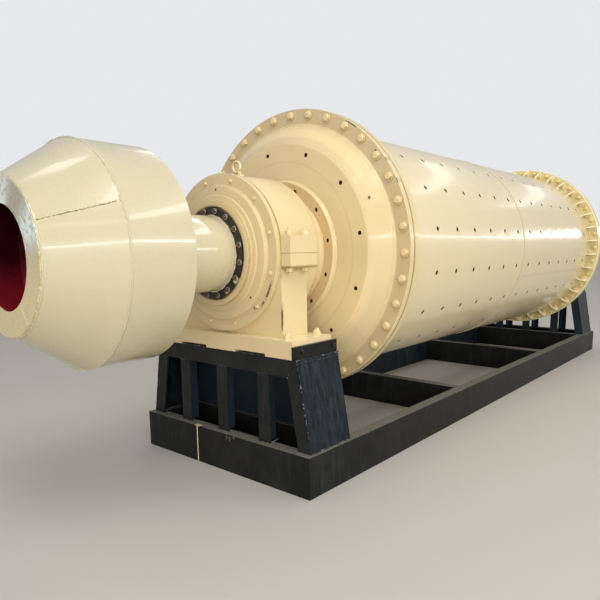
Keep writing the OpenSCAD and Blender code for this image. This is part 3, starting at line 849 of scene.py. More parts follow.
def drum_marks(f, colour):
    """Faint dirt and painted shade on the seam and the mouth's lip, and faint dirt low down."""
    ragged = f.ragged()
    seam = f.x.near(FEED_X - DRUM_SEAM_X, 0.003, 0.006) * ragged.above(0.54, 0.15) * 0.25
    lip = f.x.near(FEED_X - MOUTH_X + DRUM_T, 0.002, 0.006) * ragged.above(0.50, 0.15) * 0.35
    low = f.z.below(AXIS_Z - 0.35, 0.4) * f.noise(6, 4, 0.7).above(0.5, 0.3) * 0.14
    return f.mix((seam + lip + low).clamp() * f.radius().above(0.30, 0.02), colour, CREVICE_SHADE_AND_DIRT)


def lock_finish():
    """Black ring paint that leaves bare cream between some bolts and a wavy edge on the neck."""
    f = Finish("black_ring_paint")
    radius, angle = f.radius(), f.angle()
    wave = f.noise(26, 3, 0.6)
    inner = (radius + wave * 0.014).below(NECK_R + 0.011, 0.003)
    upper_gap = angle.near(-36, 9, 2) * radius.near(LOCK_BOLT_R + 0.007, 0.026, 0.006)
    lower_gap = angle.near(-59, 7, 2) * radius.near(LOCK_BOLT_R + 0.002, 0.030, 0.006)
    bare = (upper_gap + lower_gap) * wave.above(0.42, 0.1)
    colour = f.mix(f.noise(30, 4, 0.7).above(0.5, 0.4), BLACK, OILY_BLACK)
    colour = f.mix((inner + bare).clamp(), colour, CREAM_EDGE)
    normal = f.bump(f.noise(70, 3, 0.6) * 0.001)
    return f.shade(Base_Color=colour, Roughness=0.3 + wave * 0.25, Normal=normal)


def mouth_finish():
    """The mouth ring's face: thick brushed paint, greyed silvery above, with painted bluish reflections over
    it.
    """
    f = Finish("brushed_mouth_paint")
    radius, angle = f.radius(), f.angle()
    brush = f.noise_at(f.vector(angle * 0.02, radius * 3, f.x), 30, 4, 0.7)
    daub = f.noise(30, 4, 0.7)
    upper = angle.near(48, 84, 50)
    silver = upper * daub.above(0.42, 0.22)
    # Painted reflection: bright bluish patches where the face mirrors the windows
    shine = (angle.near(24, 28, 18) + angle.near(78, 20, 14)).clamp() * daub.above(0.45, 0.16)
    colour = f.mix(brush.above(0.5, 0.4), tone(CREAM_YELLOW, 1.05), tone(CREAM_DRUM, 1.2))
    colour = f.mix((upper * 0.45 + silver * 0.35).clamp(), colour, MOUTH_GREY)
    colour = f.mix((shine * 0.85).clamp(), colour, MOUTH_PAINTED_REFLECTION)
    edge = (radius - MOUTH_RING_R).size().below(0.005, 0.003) * f.noise(60, 3, 0.7).above(0.48, 0.1)
    colour = f.mix(edge * 0.6, colour, CREVICE_SHADE_AND_DIRT)
    height = daub * 0.0060 + brush * 0.0020 + f.noise(90, 3, 0.6) * 0.0016
    return f.shade(
        Base_Color=colour, Roughness=0.20 + daub * 0.2, Normal=f.bump(height), Coat_Weight=0.4,
        Coat_Roughness=0.08,
    )


def red_finish():
    """Red primer inside the drum, painted bright low down and painted dark above as shade."""
    f = Finish("red_inside_paint")
    dark = (f.z + f.noise(5, 3, 0.6) * 0.12 + f.y * 0.25).above(AXIS_Z + 0.02, 0.34)
    rough = f.noise(30, 3, 0.6)
    return f.shade(
        Base_Color=f.mix(dark, RED, RED_IN_PAINTED_SHADE), Roughness=0.45 + rough * 0.2, Normal=f.bump(rough * 0.002)
    )


cream_bolt = cream_finish("cream_bolt_paint", bolt_marks, tone(CREAM_WARM, 1.06), grime=0.6, wave=0.0)
cream_nut = cream_finish("cream_pocket_nut_paint", bolt_marks, CREAM_NUT, grime=0.9, wave=0.0)
cream_bearing = cream_finish("cream_bearing_paint", bearing_marks, gloss=0.36, peel=0.8, wave=0.3)
cream_cover = cream_finish(
    "cream_cover_paint", cover_marks, tone(CREAM_WARM, 0.94), gloss=0.36, peel=0.8, wave=0.3
)
cream_head = cream_finish("cream_head_paint", head_marks, gloss=0.12, peel=0.6, sag=1.4, coat=0.3, shine=0.7)
cream_shell = cream_finish(
    "cream_shell_paint", shell_marks, CREAM_SHELL, grime=0.12, gloss=0.14, peel=0.15, wave=0.7, coat=0.3,
    dents=shell_dents,
)
cream_flange = cream_finish("cream_flange_paint", flange_marks, tone(CREAM_YELLOW, 0.92), wave=0.3)
cream_gear = cream_finish("cream_gear_flange_paint", gear_marks, CREAM_GEAR, wave=0.2)
# Painted light: the ribs are a paler cream so their edges read as lit
cream_rib = cream_finish("cream_rib_paint", rib_marks, tone(CREAM_EDGE, 1.30), wave=0.0)
cream_drum = cream_finish(
    "cream_drum_paint", drum_marks, CREAM_DRUM, grime=0.2, gloss=0.14, peel=0.8, sparkle=1.0, coat=1.0,
    shine=0.6,
)
cream_neck = cream_finish(
    "cream_neck_paint", base=tone(CREAM_DRUM, 1.10), grime=0.2, gloss=0.2, peel=0.5, coat=0.8
)
cream_weld = cream_finish("cream_weld_paint", base=CREAM_DRUM, peel=2.0, wave=0.0)
black = black_finish("black_skid_paint")
black_side = black_finish("black_side_plate_paint", tone(BLACK_BLUE, 1.6), scuff=1.0)
black_pedestal = black_finish("black_pedestal_paint", tone(BLACK, 1.4), marks=pedestal_marks)
black_weld = black_finish(
    "black_weld_paint", BLACK_BLUE, dust=0.5, scuff=1.0, bare=0.8, brushed=(3.0, 3.0, 3.0)
)
ring_black = lock_finish()
mouth_paint = mouth_finish()
red_inside = red_finish()
seam_shade = plain_finish("seam_shadow_paint", SEAM_SHADE, tone(SEAM_SHADE, 0.5), 0.5)
bolt_brown = plain_finish("oiled_bolt_steel", OILED_STEEL, OILED_STEEL_WORN, 0.30, 0.5, 60, 0.0004)
brass = plain_finish("dull_brass_fitting", BRASS, BRASS_DARK, 0.4, 0.5, 80, 0.0003)
bare_steel = plain_finish("bright_steel", STEEL, STEEL_DARK, 0.25, 0.6, 60, 0.0003)


def hexagon(width, height, chamfer=0.12, washer_r=0.0, washer_h=0.0, stud_r=0.0, stud_h=0.0):
    """A nut or bolt head standing on Z = 0, on a washer, with the end of its stud."""
    bm = bmesh.new()
    if washer_r:
        add_rod(bm, Matrix(), washer_r, washer_h, 18)
    head = add_rod(bm, Matrix.Translation((0, 0, washer_h)), width / 2 / math.cos(math.pi / 6), height, 6)
    top = washer_h + height
    edges = {e for v in head for e in v.link_edges if all(abs(w.co.z - top) < 1e-6 for w in e.verts)}
    bmesh.ops.bevel(
        bm, geom=list(edges), offset=width * chamfer, offset_type="OFFSET", segments=1, profile=0.5,
        affect="EDGES", clamp_overlap=True, material=-1,
    )
    if stud_r:
        add_rod(bm, Matrix.Translation((0, 0, top)), stud_r, stud_h, 10, stud_r * 0.8)
    return template(bm)


def bolt_ring(out, radius, count, first, direction):
    """Places round the axis, with Z along +X or -X and each hexagon turned at random."""
    return [
        along(at_angle(out, radius, first + i * 360 / count), (direction, 0, 0))
        @ Matrix.Rotation(math.radians(60 * dice.random()), 4, "Z")
        for i in range(count)
    ]


# The heads and the bolts round their flanges
def arc(middle, radius, start, end, steps=6):
    """Points of a head's profile; an angle is the normal's, from straight out of the head to straight up."""
    points = []
    for i in range(steps + 1):
        a = math.radians(start + (end - start) * i / steps)
        points.append((-(middle[1] + radius * math.cos(a)), middle[0] + radius * math.sin(a)))
    return points


def shoulder_profile():
    """The disc's rounded edge, the cone, and its rounded foot with a fillet on the flange."""
    tilt = math.radians(SHOULDER_TILT)
    edge_round, foot_round, foot_fillet, foot_angle = 0.030, 0.014, 0.014, 60
    edge = (DISC_R - edge_round * math.sin(tilt / 2), DISC_OUT - edge_round)
    top = (edge[0] + edge_round * math.sin(tilt), edge[1] + edge_round * math.cos(tilt))
    end = (CONE_R, top[1] - (CONE_R - top[0]) * math.tan(tilt))
    foot = (end[0] - foot_round * math.sin(tilt), end[1] - foot_round * math.cos(tilt))
    a = math.radians(foot_angle)
    drop = foot[1] + (foot_round + foot_fillet) * math.cos(a) - foot_fillet
    fillet = (foot[0] + (foot_round + foot_fillet) * math.sin(a) + drop / math.tan(a), foot_fillet)
    return (
        arc(edge, edge_round, 0, SHOULDER_TILT)
        + arc(foot, foot_round, SHOULDER_TILT, foot_angle)
        + arc(fillet, -foot_fillet, foot_angle, 0)
    )


def head_profile():
    """From the trunnion's seat over the hub, disc and shoulder to the flange, and back inside."""
    inside = SHELL_R - SHELL_T
    hub_round, lip = 0.014, 0.004
    rim = (HUB_R - hub_round, HUB_OUT - hub_round)
    inner_slope = (HEAD_FLANGE_T - HEAD_INNER_SLOPE, inside - HEAD_INNER_STEP)
    return (
        [(-HUB_SEAT_OUT, SPIGOT_R), (-HUB_SEAT_OUT, SEAT_R), (-HUB_OUT + 0.002, rim[0] - 0.002)]
        + arc(rim, hub_round, 0, 80)
        + [(-DISC_OUT - 0.008, HUB_R + 0.007), (-DISC_OUT, HUB_FOOT_R)]
        + shoulder_profile()
        + [(0, FLANGE_R - lip), (lip * 0.3, FLANGE_R - lip * 0.3), (lip, FLANGE_R)]
        + [(HEAD_FLANGE_T - lip, FLANGE_R), (HEAD_FLANGE_T, FLANGE_R - lip), (HEAD_FLANGE_T, inside)]
        + [inner_slope, (-DISC_OUT + DISC_T, DISC_R), (-DISC_OUT + DISC_T, SPIGOT_R)]
    )


def head_hole_solids():
    """Rods through the disc and the hub, where the liner bolts go."""
    bm = bmesh.new()
    for radius in (OUTER_HOLE_R, INNER_HOLE_R):
        for i in range(HEAD_HOLES):
            start = at_angle(-HUB_OUT - 0.020, radius, HEAD_HOLE_PHASE + i * 360 / HEAD_HOLES)
            add_rod(bm, along(start, (1, 0, 0)), HEAD_HOLE_R, HUB_OUT, 20)
    return bm


flange_bolt = hexagon(BOLT_AF, BOLT_H - WASHER_H, washer_r=WASHER_R, washer_h=WASHER_H)
flange_nut = hexagon(
    BOLT_AF - 0.006, BOLT_H - WASHER_H, washer_r=0.026, washer_h=WASHER_H, stud_r=0.013, stud_h=0.012
)
PLUG_PLACE, PLUG_NORMAL = at_angle(-0.074, 0.845, 25), (-0.83, -0.5, 0.24)

for end, place in ENDS.items():
    head = turned(head_profile(), BIG_STEPS)
    finish_piece(
        "head_" + end + "_casting", head, cream_head, MILL, "head_" + end, place, holes=head_hole_solids()
    )
    grip = HEAD_FLANGE_T + (SHELL_FLANGE_T if end == "feed" else GEAR_FLANGE_T)
    bolts = stamped(flange_bolt, bolt_ring(0, BOLT_CIRCLE_R, BOLT_COUNT, BOLT_PHASE, -1))
    finish_piece("flange_bolts_" + end, bolts, cream_bolt, MILL, "head_bolts_" + end, place)
    behind = stamped(flange_nut, bolt_ring(grip, BOLT_CIRCLE_R, BOLT_COUNT, BOLT_PHASE, 1))
    finish_piece("flange_nuts_" + end, behind, cream_nut, MILL, None, place)
    plug = rods([(PLUG_PLACE, PLUG_NORMAL, 0.008, 0.010, 12)])
    finish_piece("head_plug_" + end, plug, bolt_brown, MILL, None, place)


# The shell: two courses with rows of liner bolt holes
def shell_hole_solids(low, high):
    """Rods through the plate in the columns between two places along the shell."""
    bm = bmesh.new()
    for k in range(COLUMNS):
        out = COLUMN_FIRST + COLUMN_STEP * k
        if low < out < high:
            for i in range(360 // ROW_STEP):
                degrees = ROW_FIRST + ROW_STEP * i
                inner = at_angle(out, SHELL_R - 0.05, degrees)
                outward = at_angle(out, SHELL_R, degrees) - inner
                add_rod(bm, along(inner, outward), LINER_HOLE_R, 0.08, 16)
    return bm


for name, low, high in (
    ("shell_feed_course", HEAD_FLANGE_T, SEAM_X),
    ("shell_discharge_course", SEAM_X, MILL_LEN - HEAD_FLANGE_T),
):
    finish_piece(
        name + "_plate", turned(ring_profile(low, high, SHELL_R - SHELL_T, SHELL_R), BIG_STEPS), cream_shell,
        MILL, name, holes=shell_hole_solids(low, high), radial=True,
    )
girth = hoop(SEAM_X, SHELL_R, 0.018, 0.002, 0.004)
bead("shell_girth_weld", [girth], 0.0055, cream_weld, closed=True)
FAR_WELD, NEAR_WELD = 214, -17
long_welds = [
    line(at_angle(0.12, SHELL_R, FAR_WELD), at_angle(SEAM_X, SHELL_R, FAR_WELD), 0.02, 0.0015),
    line(at_angle(SEAM_X, SHELL_R, NEAR_WELD), at_angle(4.58, SHELL_R, NEAR_WELD), 0.02, 0.0015),
]
bead("shell_long_welds", long_welds, 0.0045, cream_weld)
covered = bmesh.new()
add_rod(covered, along(at_angle(0.25, SHELL_R - 0.004, ROW_FIRST), (0, -1, 0.17)), 0.017, 0.006, 20, 0.013)
finish_piece("painted_over_plug", covered, cream_weld, MILL)


# The flange at each end of the shell, and the ribs behind the one that carries the gear
def flange_ring(thickness):
    """A ring behind the head's flange, round the shell."""
    back = HEAD_FLANGE_T + thickness
    return turned(ring_profile(HEAD_FLANGE_T, back, SHELL_R + FIT, FLANGE_R), BIG_STEPS, 0.004)


finish_piece("shell_flange_ring", flange_ring(SHELL_FLANGE_T), cream_flange, MILL, "shell_flange")
at_flange = hoop(HEAD_FLANGE_T + SHELL_FLANGE_T, SHELL_R + 0.002, 0.02, 0.002)
bead("shell_flange_weld", [at_flange], 0.009, cream_weld, closed=True)


def gusset_shape():
    """A gusset standing straight up at the shell's top, with weld along its foot and its back."""
    face = HEAD_FLANGE_T + GEAR_FLANGE_T
    low, high = AXIS_Z + SHELL_R + FIT, AXIS_Z + FLANGE_R - GUSSET_DROP
    outline = [
        (face - 0.001, low), (face + GUSSET_LEN, low), (face + GUSSET_LEN, low + GUSSET_TIP),
        (face + GUSSET_FLAT, high), (face - 0.001, high),
    ]
    bm = plate(outline, GUSSET_T)
    soften(bm, 0.0025)
    weld_r = 0.006
    for side in (-1, 1):
        foot = Vector((face, side * (GUSSET_T / 2 + 0.001), AXIS_Z + SHELL_R + 0.001))
        add_rod(bm, along(foot, (1, 0, 0)), weld_r, GUSSET_LEN, 6)
        add_rod(bm, along(foot + Vector((0.001, 0, 0)), (0, 0, 1)), weld_r, FLANGE_R - SHELL_R - 0.02, 6)
    return template(bm)


rib_angles = [BOLT_PHASE + (i + 0.5) * 360 / BOLT_COUNT for i in range(BOLT_COUNT)]
ribs = stamped(gusset_shape(), [round_axis(angle - 90) for angle in rib_angles])
finish_piece("gear_flange_ribs", ribs, cream_rib, MILL, None, ENDS["discharge"])
finish_piece(
    "gear_flange_ring", flange_ring(GEAR_FLANGE_T), cream_gear, MILL, "gear_flange", ENDS["discharge"]
)
between_ribs = [
    hoop(HEAD_FLANGE_T + GEAR_FLANGE_T, SHELL_R + 0.002, 0.02, 0.002, 0, angle + 0.7, angle + 9.3)
    for angle in rib_angles
]
bead("gear_flange_weld", between_ribs, 0.008, cream_gear, place=ENDS["discharge"])


# The feed drum and its neck
DRUM_PAINTS = [cream_drum, red_inside]
DRUM_MIDDLE_X = -3.4


def faces_in(centre, normal):
    """True for the inside of the drum's cone and barrel."""
    radial = Vector((0, centre.y, centre.z - AXIS_Z))
    towards_middle = normal.x * (centre.x - DRUM_MIDDLE_X) < 0
    return normal.dot(radial) < -0.2 * radial.length or (abs(normal.x) > 0.9 and towards_middle)


front = -MOUTH_X + DRUM_T
back = -DRUM_REAR_X - 2 * DRUM_T
finish_piece(
    "mouth_ring_plate", turned(ring_profile(-MOUTH_X, front, MOUTH_R, MOUTH_RING_R), soft=0.003),
    [mouth_paint, red_inside], MILL, "mouth_ring", inside=lambda c, n: n.x > 0.5,
)
cone = [
    (front, MOUTH_RING_R - DRUM_T), (front, MOUTH_RING_R), (-DRUM_SEAM_X, DRUM_R),
    (-DRUM_SEAM_X, DRUM_R - DRUM_T),
]
finish_piece("drum_cone_plate", turned(cone), DRUM_PAINTS, MILL, "drum_cone", inside=faces_in)
barrel = turned(ring_profile(-DRUM_SEAM_X, -DRUM_REAR_X, DRUM_R - DRUM_T, DRUM_R))
finish_piece("drum_barrel_plate", barrel, DRUM_PAINTS, MILL, "drum_barrel", inside=faces_in)
finish_piece(
    "drum_back_disc", turned(ring_profile(back, back + DRUM_T, NECK_R + FIT, DRUM_R - DRUM_T - FIT)),
    DRUM_PAINTS, MILL, "drum_back_plate", inside=lambda c, n: n.x < -0.5,
)
finish_piece(
    "neck_pipe_tube", turned(ring_profile(back - DRUM_T, -NOSE_X, NECK_R - DRUM_T, NECK_R)),
    [cream_neck, red_inside], MILL, "neck_pipe",
    inside=lambda c, n: n.dot(Vector((0, c.y, c.z - AXIS_Z))) < 0,
)

# The drum's welds, and a dark bead beside the long one as its painted shadow where it stands off the plate
CONE_SEAM, FACE_SEAM = 25.7, -55.0
seam_hoop = hoop(-DRUM_SEAM_X, DRUM_R - 0.002, 0.014, 0.004)
bead("drum_seam_weld", [seam_hoop], 0.0050, cream_weld, ripple=0.8, closed=True)
lip_hoop = hoop(front, MOUTH_RING_R - 0.001, 0.015, 0.003)
bead("mouth_lip_weld", [lip_hoop], 0.0055, cream_weld, ripple=1.1, closed=True)
seam_start = at_angle(front, MOUTH_RING_R - 0.001, CONE_SEAM)
seam_end = at_angle(-DRUM_SEAM_X, DRUM_R - 0.001, CONE_SEAM)
bead("cone_long_weld", [line(seam_start, seam_end, 0.008, 0.005)], 0.0030, cream_weld, ripple=0.9)
beside_seam = Vector((0, 0, -0.005))
seam_shadow_run = line(seam_start + beside_seam, seam_end + beside_seam, 0.012, 0.002)
bead("cone_seam_painted_shadow", [seam_shadow_run], 0.0028, seam_shade, ripple=0.9)
face_start = at_angle(-MOUTH_X, MOUTH_R + 0.01, FACE_SEAM)
face_end = at_angle(-MOUTH_X, MOUTH_RING_R - 0.01, FACE_SEAM)
bead("mouth_face_weld", [line(face_start, face_end, 0.012, 0.002)], 0.003, cream_weld)
neck_hoop = hoop(back + DRUM_T, NECK_R + 0.002, 0.014, 0.002)
bead("neck_weld", [neck_hoop], 0.007, cream_weld, closed=True)

# The lock ring, its bolts, and the collar of black weld where the neck pipe goes in
lock_out = -NOSE_X - LOCK_T
finish_piece(
    "lock_ring_disc", turned(ring_profile(lock_out, -NOSE_X, NECK_R + FIT, NOSE_R), soft=0.003), ring_black,
    MILL, "lock_ring",
)
lock_places = bolt_ring(lock_out, LOCK_BOLT_R, LOCK_BOLTS, 180 / LOCK_BOLTS, -1)
lock_bolts = stamped(hexagon(0.028, 0.018), lock_places)
finish_piece("lock_ring_bolts", lock_bolts, bolt_brown, MILL)
lock_washer = turned([(-0.004, 0.008), (-0.004, 0.0185), (0.0, 0.0195), (0.0, 0.008)], 18)
stand_up = Matrix.Rotation(math.pi / 2, 4, "Y") @ Matrix.Translation((0, 0, -AXIS_Z))
bmesh.ops.transform(lock_washer, matrix=stand_up, verts=lock_washer.verts)
lock_washers = stamped(template(lock_washer), lock_places)
finish_piece("lock_ring_washers", lock_washers, bare_steel, MILL)
collar = hoop(lock_out, NECK_R + 0.003, 0.012, 0.003)
bead("neck_collar_weld", [collar], 0.007, ring_black, closed=True)


# The trunnions and their bearings
def trunnion_profile():
    flange_out = HUB_SEAT_OUT + TRUNNION_FLANGE_T
    return [
        (-NOSE_X, THROAT_R), (-NOSE_X, NOSE_R), (-JOURNAL_OUT, NOSE_R), (-JOURNAL_OUT, JOURNAL_R),
        (-JOURNAL_BACK, JOURNAL_R), (-JOURNAL_BACK, TRUNNION_NECK_R),
        (-flange_out - TRUNNION_TAPER, TRUNNION_NECK_R), (-flange_out, TRUNNION_FLANGE_R),
        (-HUB_SEAT_OUT, TRUNNION_FLANGE_R), (-HUB_SEAT_OUT, TRUNNION_SPIGOT_R),
        (-DISC_OUT + DISC_T, TRUNNION_SPIGOT_R), (-DISC_OUT + DISC_T, THROAT_R),
    ]


def cover_profile():
    """The stepped outer cover, with a proud rim and a bevelled nose round its bore."""
    bevel = COVER_BEVEL
    return [
        (-BARREL_OUT, COVER_BORE_R), (-BARREL_OUT, COVER_RIM_R), (-COVER_RIM_OUT, COVER_RIM_R),
        (-COVER_RIM_OUT, COVER_LAND_R), (-COVER_STEP_OUT + bevel, COVER_LAND_R - bevel / 2),
        (-COVER_STEP_OUT, COVER_LAND_R - bevel * 3 / 2), (-COVER_SLOPE_OUT, COVER_STEP_R),
        (-COVER_SLOPE_OUT - bevel, COVER_STEP_R - bevel),
        (-COVER_SLOPE_OUT - bevel * 3 / 2, COVER_NOSE_R), (-COVER_NOSE_OUT, COVER_NOSE_R - bevel / 2),
        (-COVER_NOSE_OUT, COVER_BORE_R + bevel), (-COVER_NOSE_OUT + bevel, COVER_BORE_R),
    ]


INNER_COVER_FACE = -BARREL_BACK + INNER_COVER_T
COVER_BOLTS, COVER_BOLT_PHASE = 12, 15
JACK_ANGLES = (88.6, -42.2)
LUG_PLUG_Y = 0.566
cover_bolt = hexagon(0.024, 0.010, washer_r=0.015, washer_h=0.002)
lug_nut = hexagon(0.040, 0.024, washer_r=0.029, washer_h=0.005, stud_r=0.014, stud_h=0.012)
foundation_nut = hexagon(0.046, 0.024, washer_r=0.033, washer_h=0.005, stud_r=0.015, stud_h=0.012)

for end, place in ENDS.items():
    trunnion = turned(trunnion_profile(), soft=0.004)
    finish_piece("trunnion_" + end + "_casting", trunnion, cream_head, MILL, "trunnion_" + end, place)
    cover = turned(cover_profile(), soft=0.0025)
    finish_piece("end_cover_" + end + "_casting", cover, cream_cover, SKID, "end_cover_" + end, place)
    cover = turned(ring_profile(-BARREL_BACK, INNER_COVER_FACE, JOURNAL_R, INNER_COVER_R), soft=0.004)
    finish_piece("inner_cover_" + end + "_plate", cover, cream_cover, SKID, "inner_cover_" + end, place)
    bolts = stamped(cover_bolt, bolt_ring(-COVER_RIM_OUT, 0.482, COVER_BOLTS, COVER_BOLT_PHASE, -1))
    finish_piece("cover_bolts_" + end, bolts, cream_bolt, SKID, None, place)
    bolts = stamped(cover_bolt, bolt_ring(INNER_COVER_FACE, 0.490, COVER_BOLTS, COVER_BOLT_PHASE, 1))
    finish_piece("inner_cover_bolts_" + end, bolts, cream_bolt, SKID, None, place)
    jack_holes = rods([(at_angle(-0.7535, 0.418, a), (-1, 0, 0), 0.0075, 0.0025, 12) for a in JACK_ANGLES])
    finish_piece("jack_holes_" + end, jack_holes, bolt_brown, SKID, None, place)
    dressed("bearing_base_" + end, cream_bearing, 0.005)
    dressed("bearing_cap_" + end, cream_bearing, 0.005)
    dressed("lifting_eye_" + end, cream_bolt, 0)
    on_top = (-BARREL_OUT - 0.010, 0, AXIS_Z + BARREL_R - 0.002)
    grease_plug = rods([(on_top, (0, 0, 1), 0.013, 0.018, 6), (on_top, (0, 0, 1), 0.016, 0.008, 16)])
    finish_piece("grease_plug_" + end, grease_plug, cream_bolt, SKID, None, place)
    lug_spots = [(LUG_X[0] + 0.001, y, AXIS_Z + 0.055) for y in (-LUG_PLUG_Y, LUG_PLUG_Y)]
    lug_plugs = rods([(spot, (-1, 0, 0), 0.009, 0.004, 14) for spot in lug_spots])
    finish_piece("lug_plugs_" + end, lug_plugs, cream_bolt, SKID, None, place)

cap_nuts, foundation_nuts = bmesh.new(), bmesh.new()
nut_groups = (
    (cap_nuts, lug_nut, LUG_BOLT_X, LUG_BOLT_Y, ((AXIS_Z + LUG_UP, 1), (AXIS_Z - LUG_DOWN, -1))),
    (foundation_nuts, foundation_nut, FOUNDATION_X, FOUNDATION_Y, ((BASE_TOP, 1), (PED_TOP - PED_T, -1))),
)
for place in ENDS.values():
    for side in (-1, 1):
        for nuts, shape, along_x, beside, levels in nut_groups:
            for x in along_x:
                for z, up in levels:
                    turn = Matrix.Rotation(dice.random(), 4, "Z")
                    stamp(nuts, shape, place @ along((x, side * beside, z), (0, 0, up)) @ turn)
finish_piece("cap_nuts", cap_nuts, cream_bolt, SKID, "cap_bolts", None)
finish_piece("foundation_nuts", foundation_nuts, cream_bolt, SKID, "foundation_bolts", None)

# The skid, its pedestals and their welds
for name in nodes:
    if name.startswith(("end_beam", "cross_beam", "inner_beam", "side_rail")):
        dressed(name, black_side if name == "side_rail_far" else black, 0.003)
    if name.startswith("pedestal"):
        dressed(name, black_pedestal, 0.0025)
dressed("stop_plates", black, 0.0025)


def pedestal_runs():
    """Weld lines of one pedestal: round its top, down its side plates, and at the posts' ends."""
    outer, inner = -PED_OUT, -PED_IN
    runs = [line((outer, -PED_HALF, PED_TOP), (outer, PED_HALF, PED_TOP), 0.02, 0.003)]
    for side in (-1, 1):
        top, foot, band = side * PED_HALF, side * PED_FOOT, side * 0.617
        under, under_z = side * (PED_HALF + 0.004), PED_TOP - 0.022
        runs += [
            line((outer, top, PED_TOP - 0.001), (inner, top, PED_TOP - 0.001), 0.018, 0.003),
            line((outer, under, under_z), (inner, under, under_z), 0.018, 0.004),
            line((outer, foot, BEAM_H), (outer, top, PED_TOP), 0.02, 0.002),
            line((outer, top, PED_TOP), (outer, band, PED_BAND_Z), 0.018, 0.004),
            line((outer, foot, BEAM_H), (inner, foot, BEAM_H), 0.02, 0.003),
        ]
    for i in (-1, 0, 1):
        left, right = i * POST_PITCH - POST_W / 2, i * POST_PITCH + POST_W / 2
        runs += [line((outer, left, z), (outer, right, z), 0.016, 0.003) for z in (PED_BAND_Z, BEAM_H)]
    return runs


STOP_BOLT_X = (-0.690, -0.372)
stop_bolt = hexagon(0.024, 0.012, washer_r=0.016, washer_h=0.003)

for end, place in ENDS.items():
    bead("pedestal_welds_" + end, pedestal_runs(), 0.0035, black_weld, SKID, place, 0.8)
    spots = [(x, side) for side in (-1, 1) for x in STOP_BOLT_X]
    stop_bolts = stamped(stop_bolt, [along((x, side * 0.690, 0.893), (0, side, 0)) for x, side in spots])
    finish_piece("stop_plate_bolts_" + end, stop_bolts, black_weld, SKID, None, place)

# Small things on the feed end's beam and on the skid: a cream strip, brass fittings, two loose weld rods
strip = bmesh.new()
add_box(strip, (-SKID_REACH - 0.002, 0.229, 0.0), (-SKID_REACH + 0.001, 0.238, BEAM_H + 0.002))
add_box(strip, (-SKID_REACH - 0.003, 0.205, BEAM_H - 0.001), (-SKID_REACH + 0.030, 0.262, BEAM_H + 0.002))
soften(strip, 0.001, 1)
finish_piece("end_beam_cream_strip", strip, cream_bolt, SKID)
fittings = bmesh.new()
for y, z, length in ((-0.092, 0.250, 0.030), (-0.122, 0.246, 0.036), (-0.160, 0.262, 0.018)):
    add_rod(fittings, along((-SKID_REACH + 0.002, y, z), (-1, 0, 0)), 0.009, 0.010, 12)
    add_rod(fittings, along((-SKID_REACH - 0.005, y, z - length / 2), (0, 0, 1)), 0.005, length, 10)
finish_piece("end_beam_fittings", fittings, brass, SKID)
lying = (
    ((-0.745, -0.462, 0.276), Vector((0.105, 0.021, 0.004))),
    ((-0.664, 0.470, 0.275), Vector((0.074, 0.036, 0.003))),
)
weld_rods = rods([(start, lie, 0.003, lie.length * 0.7, 8) for start, lie in lying])
finish_piece("loose_weld_rods", weld_rods, bare_steel, SKID)

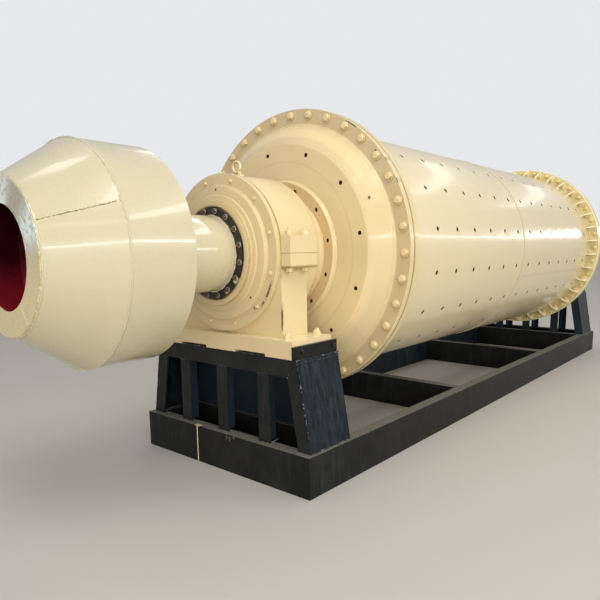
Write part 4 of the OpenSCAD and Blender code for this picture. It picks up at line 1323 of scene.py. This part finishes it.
# Floor and light
floor_bm = bmesh.new()
bmesh.ops.create_grid(floor_bm, x_segments=1, y_segments=1, size=90)
floor_mesh = template(floor_bm)
floor = bpy.data.objects.new("floor", floor_mesh)
scene.collection.objects.link(floor)
floor_mesh.materials.append(Finish("pale_floor").shade(Base_Color=FLOOR_GREY, Roughness=0.75))
floor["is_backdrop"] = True

world = bpy.data.worlds.new("studio")
scene.world = world
world.use_nodes = True
sky = world.node_tree
sky.nodes.clear()
seen, lighting = sky.nodes.new("ShaderNodeBackground"), sky.nodes.new("ShaderNodeBackground")
seen.inputs[0].default_value, seen.inputs[1].default_value = BACKDROP, 1.0
lighting.inputs[0].default_value, lighting.inputs[1].default_value = SKY_LIGHT, 0.52
path = sky.nodes.new("ShaderNodeLightPath")
pick = sky.nodes.new("ShaderNodeMixShader")
out = sky.nodes.new("ShaderNodeOutputWorld")
sky.links.new(path.outputs["Is Camera Ray"], pick.inputs[0])
sky.links.new(lighting.outputs[0], pick.inputs[1])
sky.links.new(seen.outputs[0], pick.inputs[2])
sky.links.new(pick.outputs[0], out.inputs[0])


def softbox(name, place, target, size, brightness, mirrored=True):
    """A rectangular lamp. Brightness 1 is that of white paper; one that isn't mirrored gives no highlight."""
    data = bpy.data.lights.new(name, "AREA")
    data.shape = "RECTANGLE"
    data.size, data.size_y = size
    data.energy = brightness * math.pi * size[0] * size[1]
    lamp = bpy.data.objects.new(name, data)
    scene.collection.objects.link(lamp)
    lamp.location = place
    lamp.rotation_euler = (Vector(target) - Vector(place)).to_track_quat("-Z", "Y").to_euler()
    lamp.visible_glossy = mirrored


# Strips of roof light across the hall: place along X, ends along Y, width and brightness
ROOF_Z = 7.0
for x, low_y, high_y, width, brightness in (
    (-9.6, -8.6, -5.0, 0.9, 1.8), (-4.7, 1.1, 2.5, 0.5, 3.2), (1.9, -7.8, 5.5, 0.65, 5.0),
    (8.5, -3.8, 1.6, 1.0, 1.6), (15.6, -4.1, 1.2, 1.6, 1.6),
):
    y = (low_y + high_y) / 2
    softbox("roof_light_%.0f" % x, (x, y, ROOF_Z), (x, y, 0), (width, high_y - low_y), brightness)

# Bands of windows along the near wall and at the far end, and three soft fills round the camera
softbox("wall_windows", (-1.0, -20.0, 6.7), (-1.0, 0, 1.5), (62.0, 0.9), 11.0)
softbox("wall_windows_far", (45.0, -20.0, 6.5), (45.0, 0, 1.5), (28.0, 0.5), 7.0)
softbox("end_windows", (50.0, -12.5, 6.9), (0, 0, 1.5), (8.0, 1.5), 12.0)
softbox("near_fill", (-8.0, -10.0, 2.2), (-1.8, 0, 1.5), (8.0, 4.0), 2.5, mirrored=False)
softbox("camera_fill", (-7.5, -4.6, 1.5), (-1.8, 0, 1.1), (4.0, 2.0), 3.7, mirrored=False)
softbox("upper_fill", (-4.2, -3.4, 6.8), (-2.0, -0.3, 1.2), (4.0, 3.0), 4.6)

low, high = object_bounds()
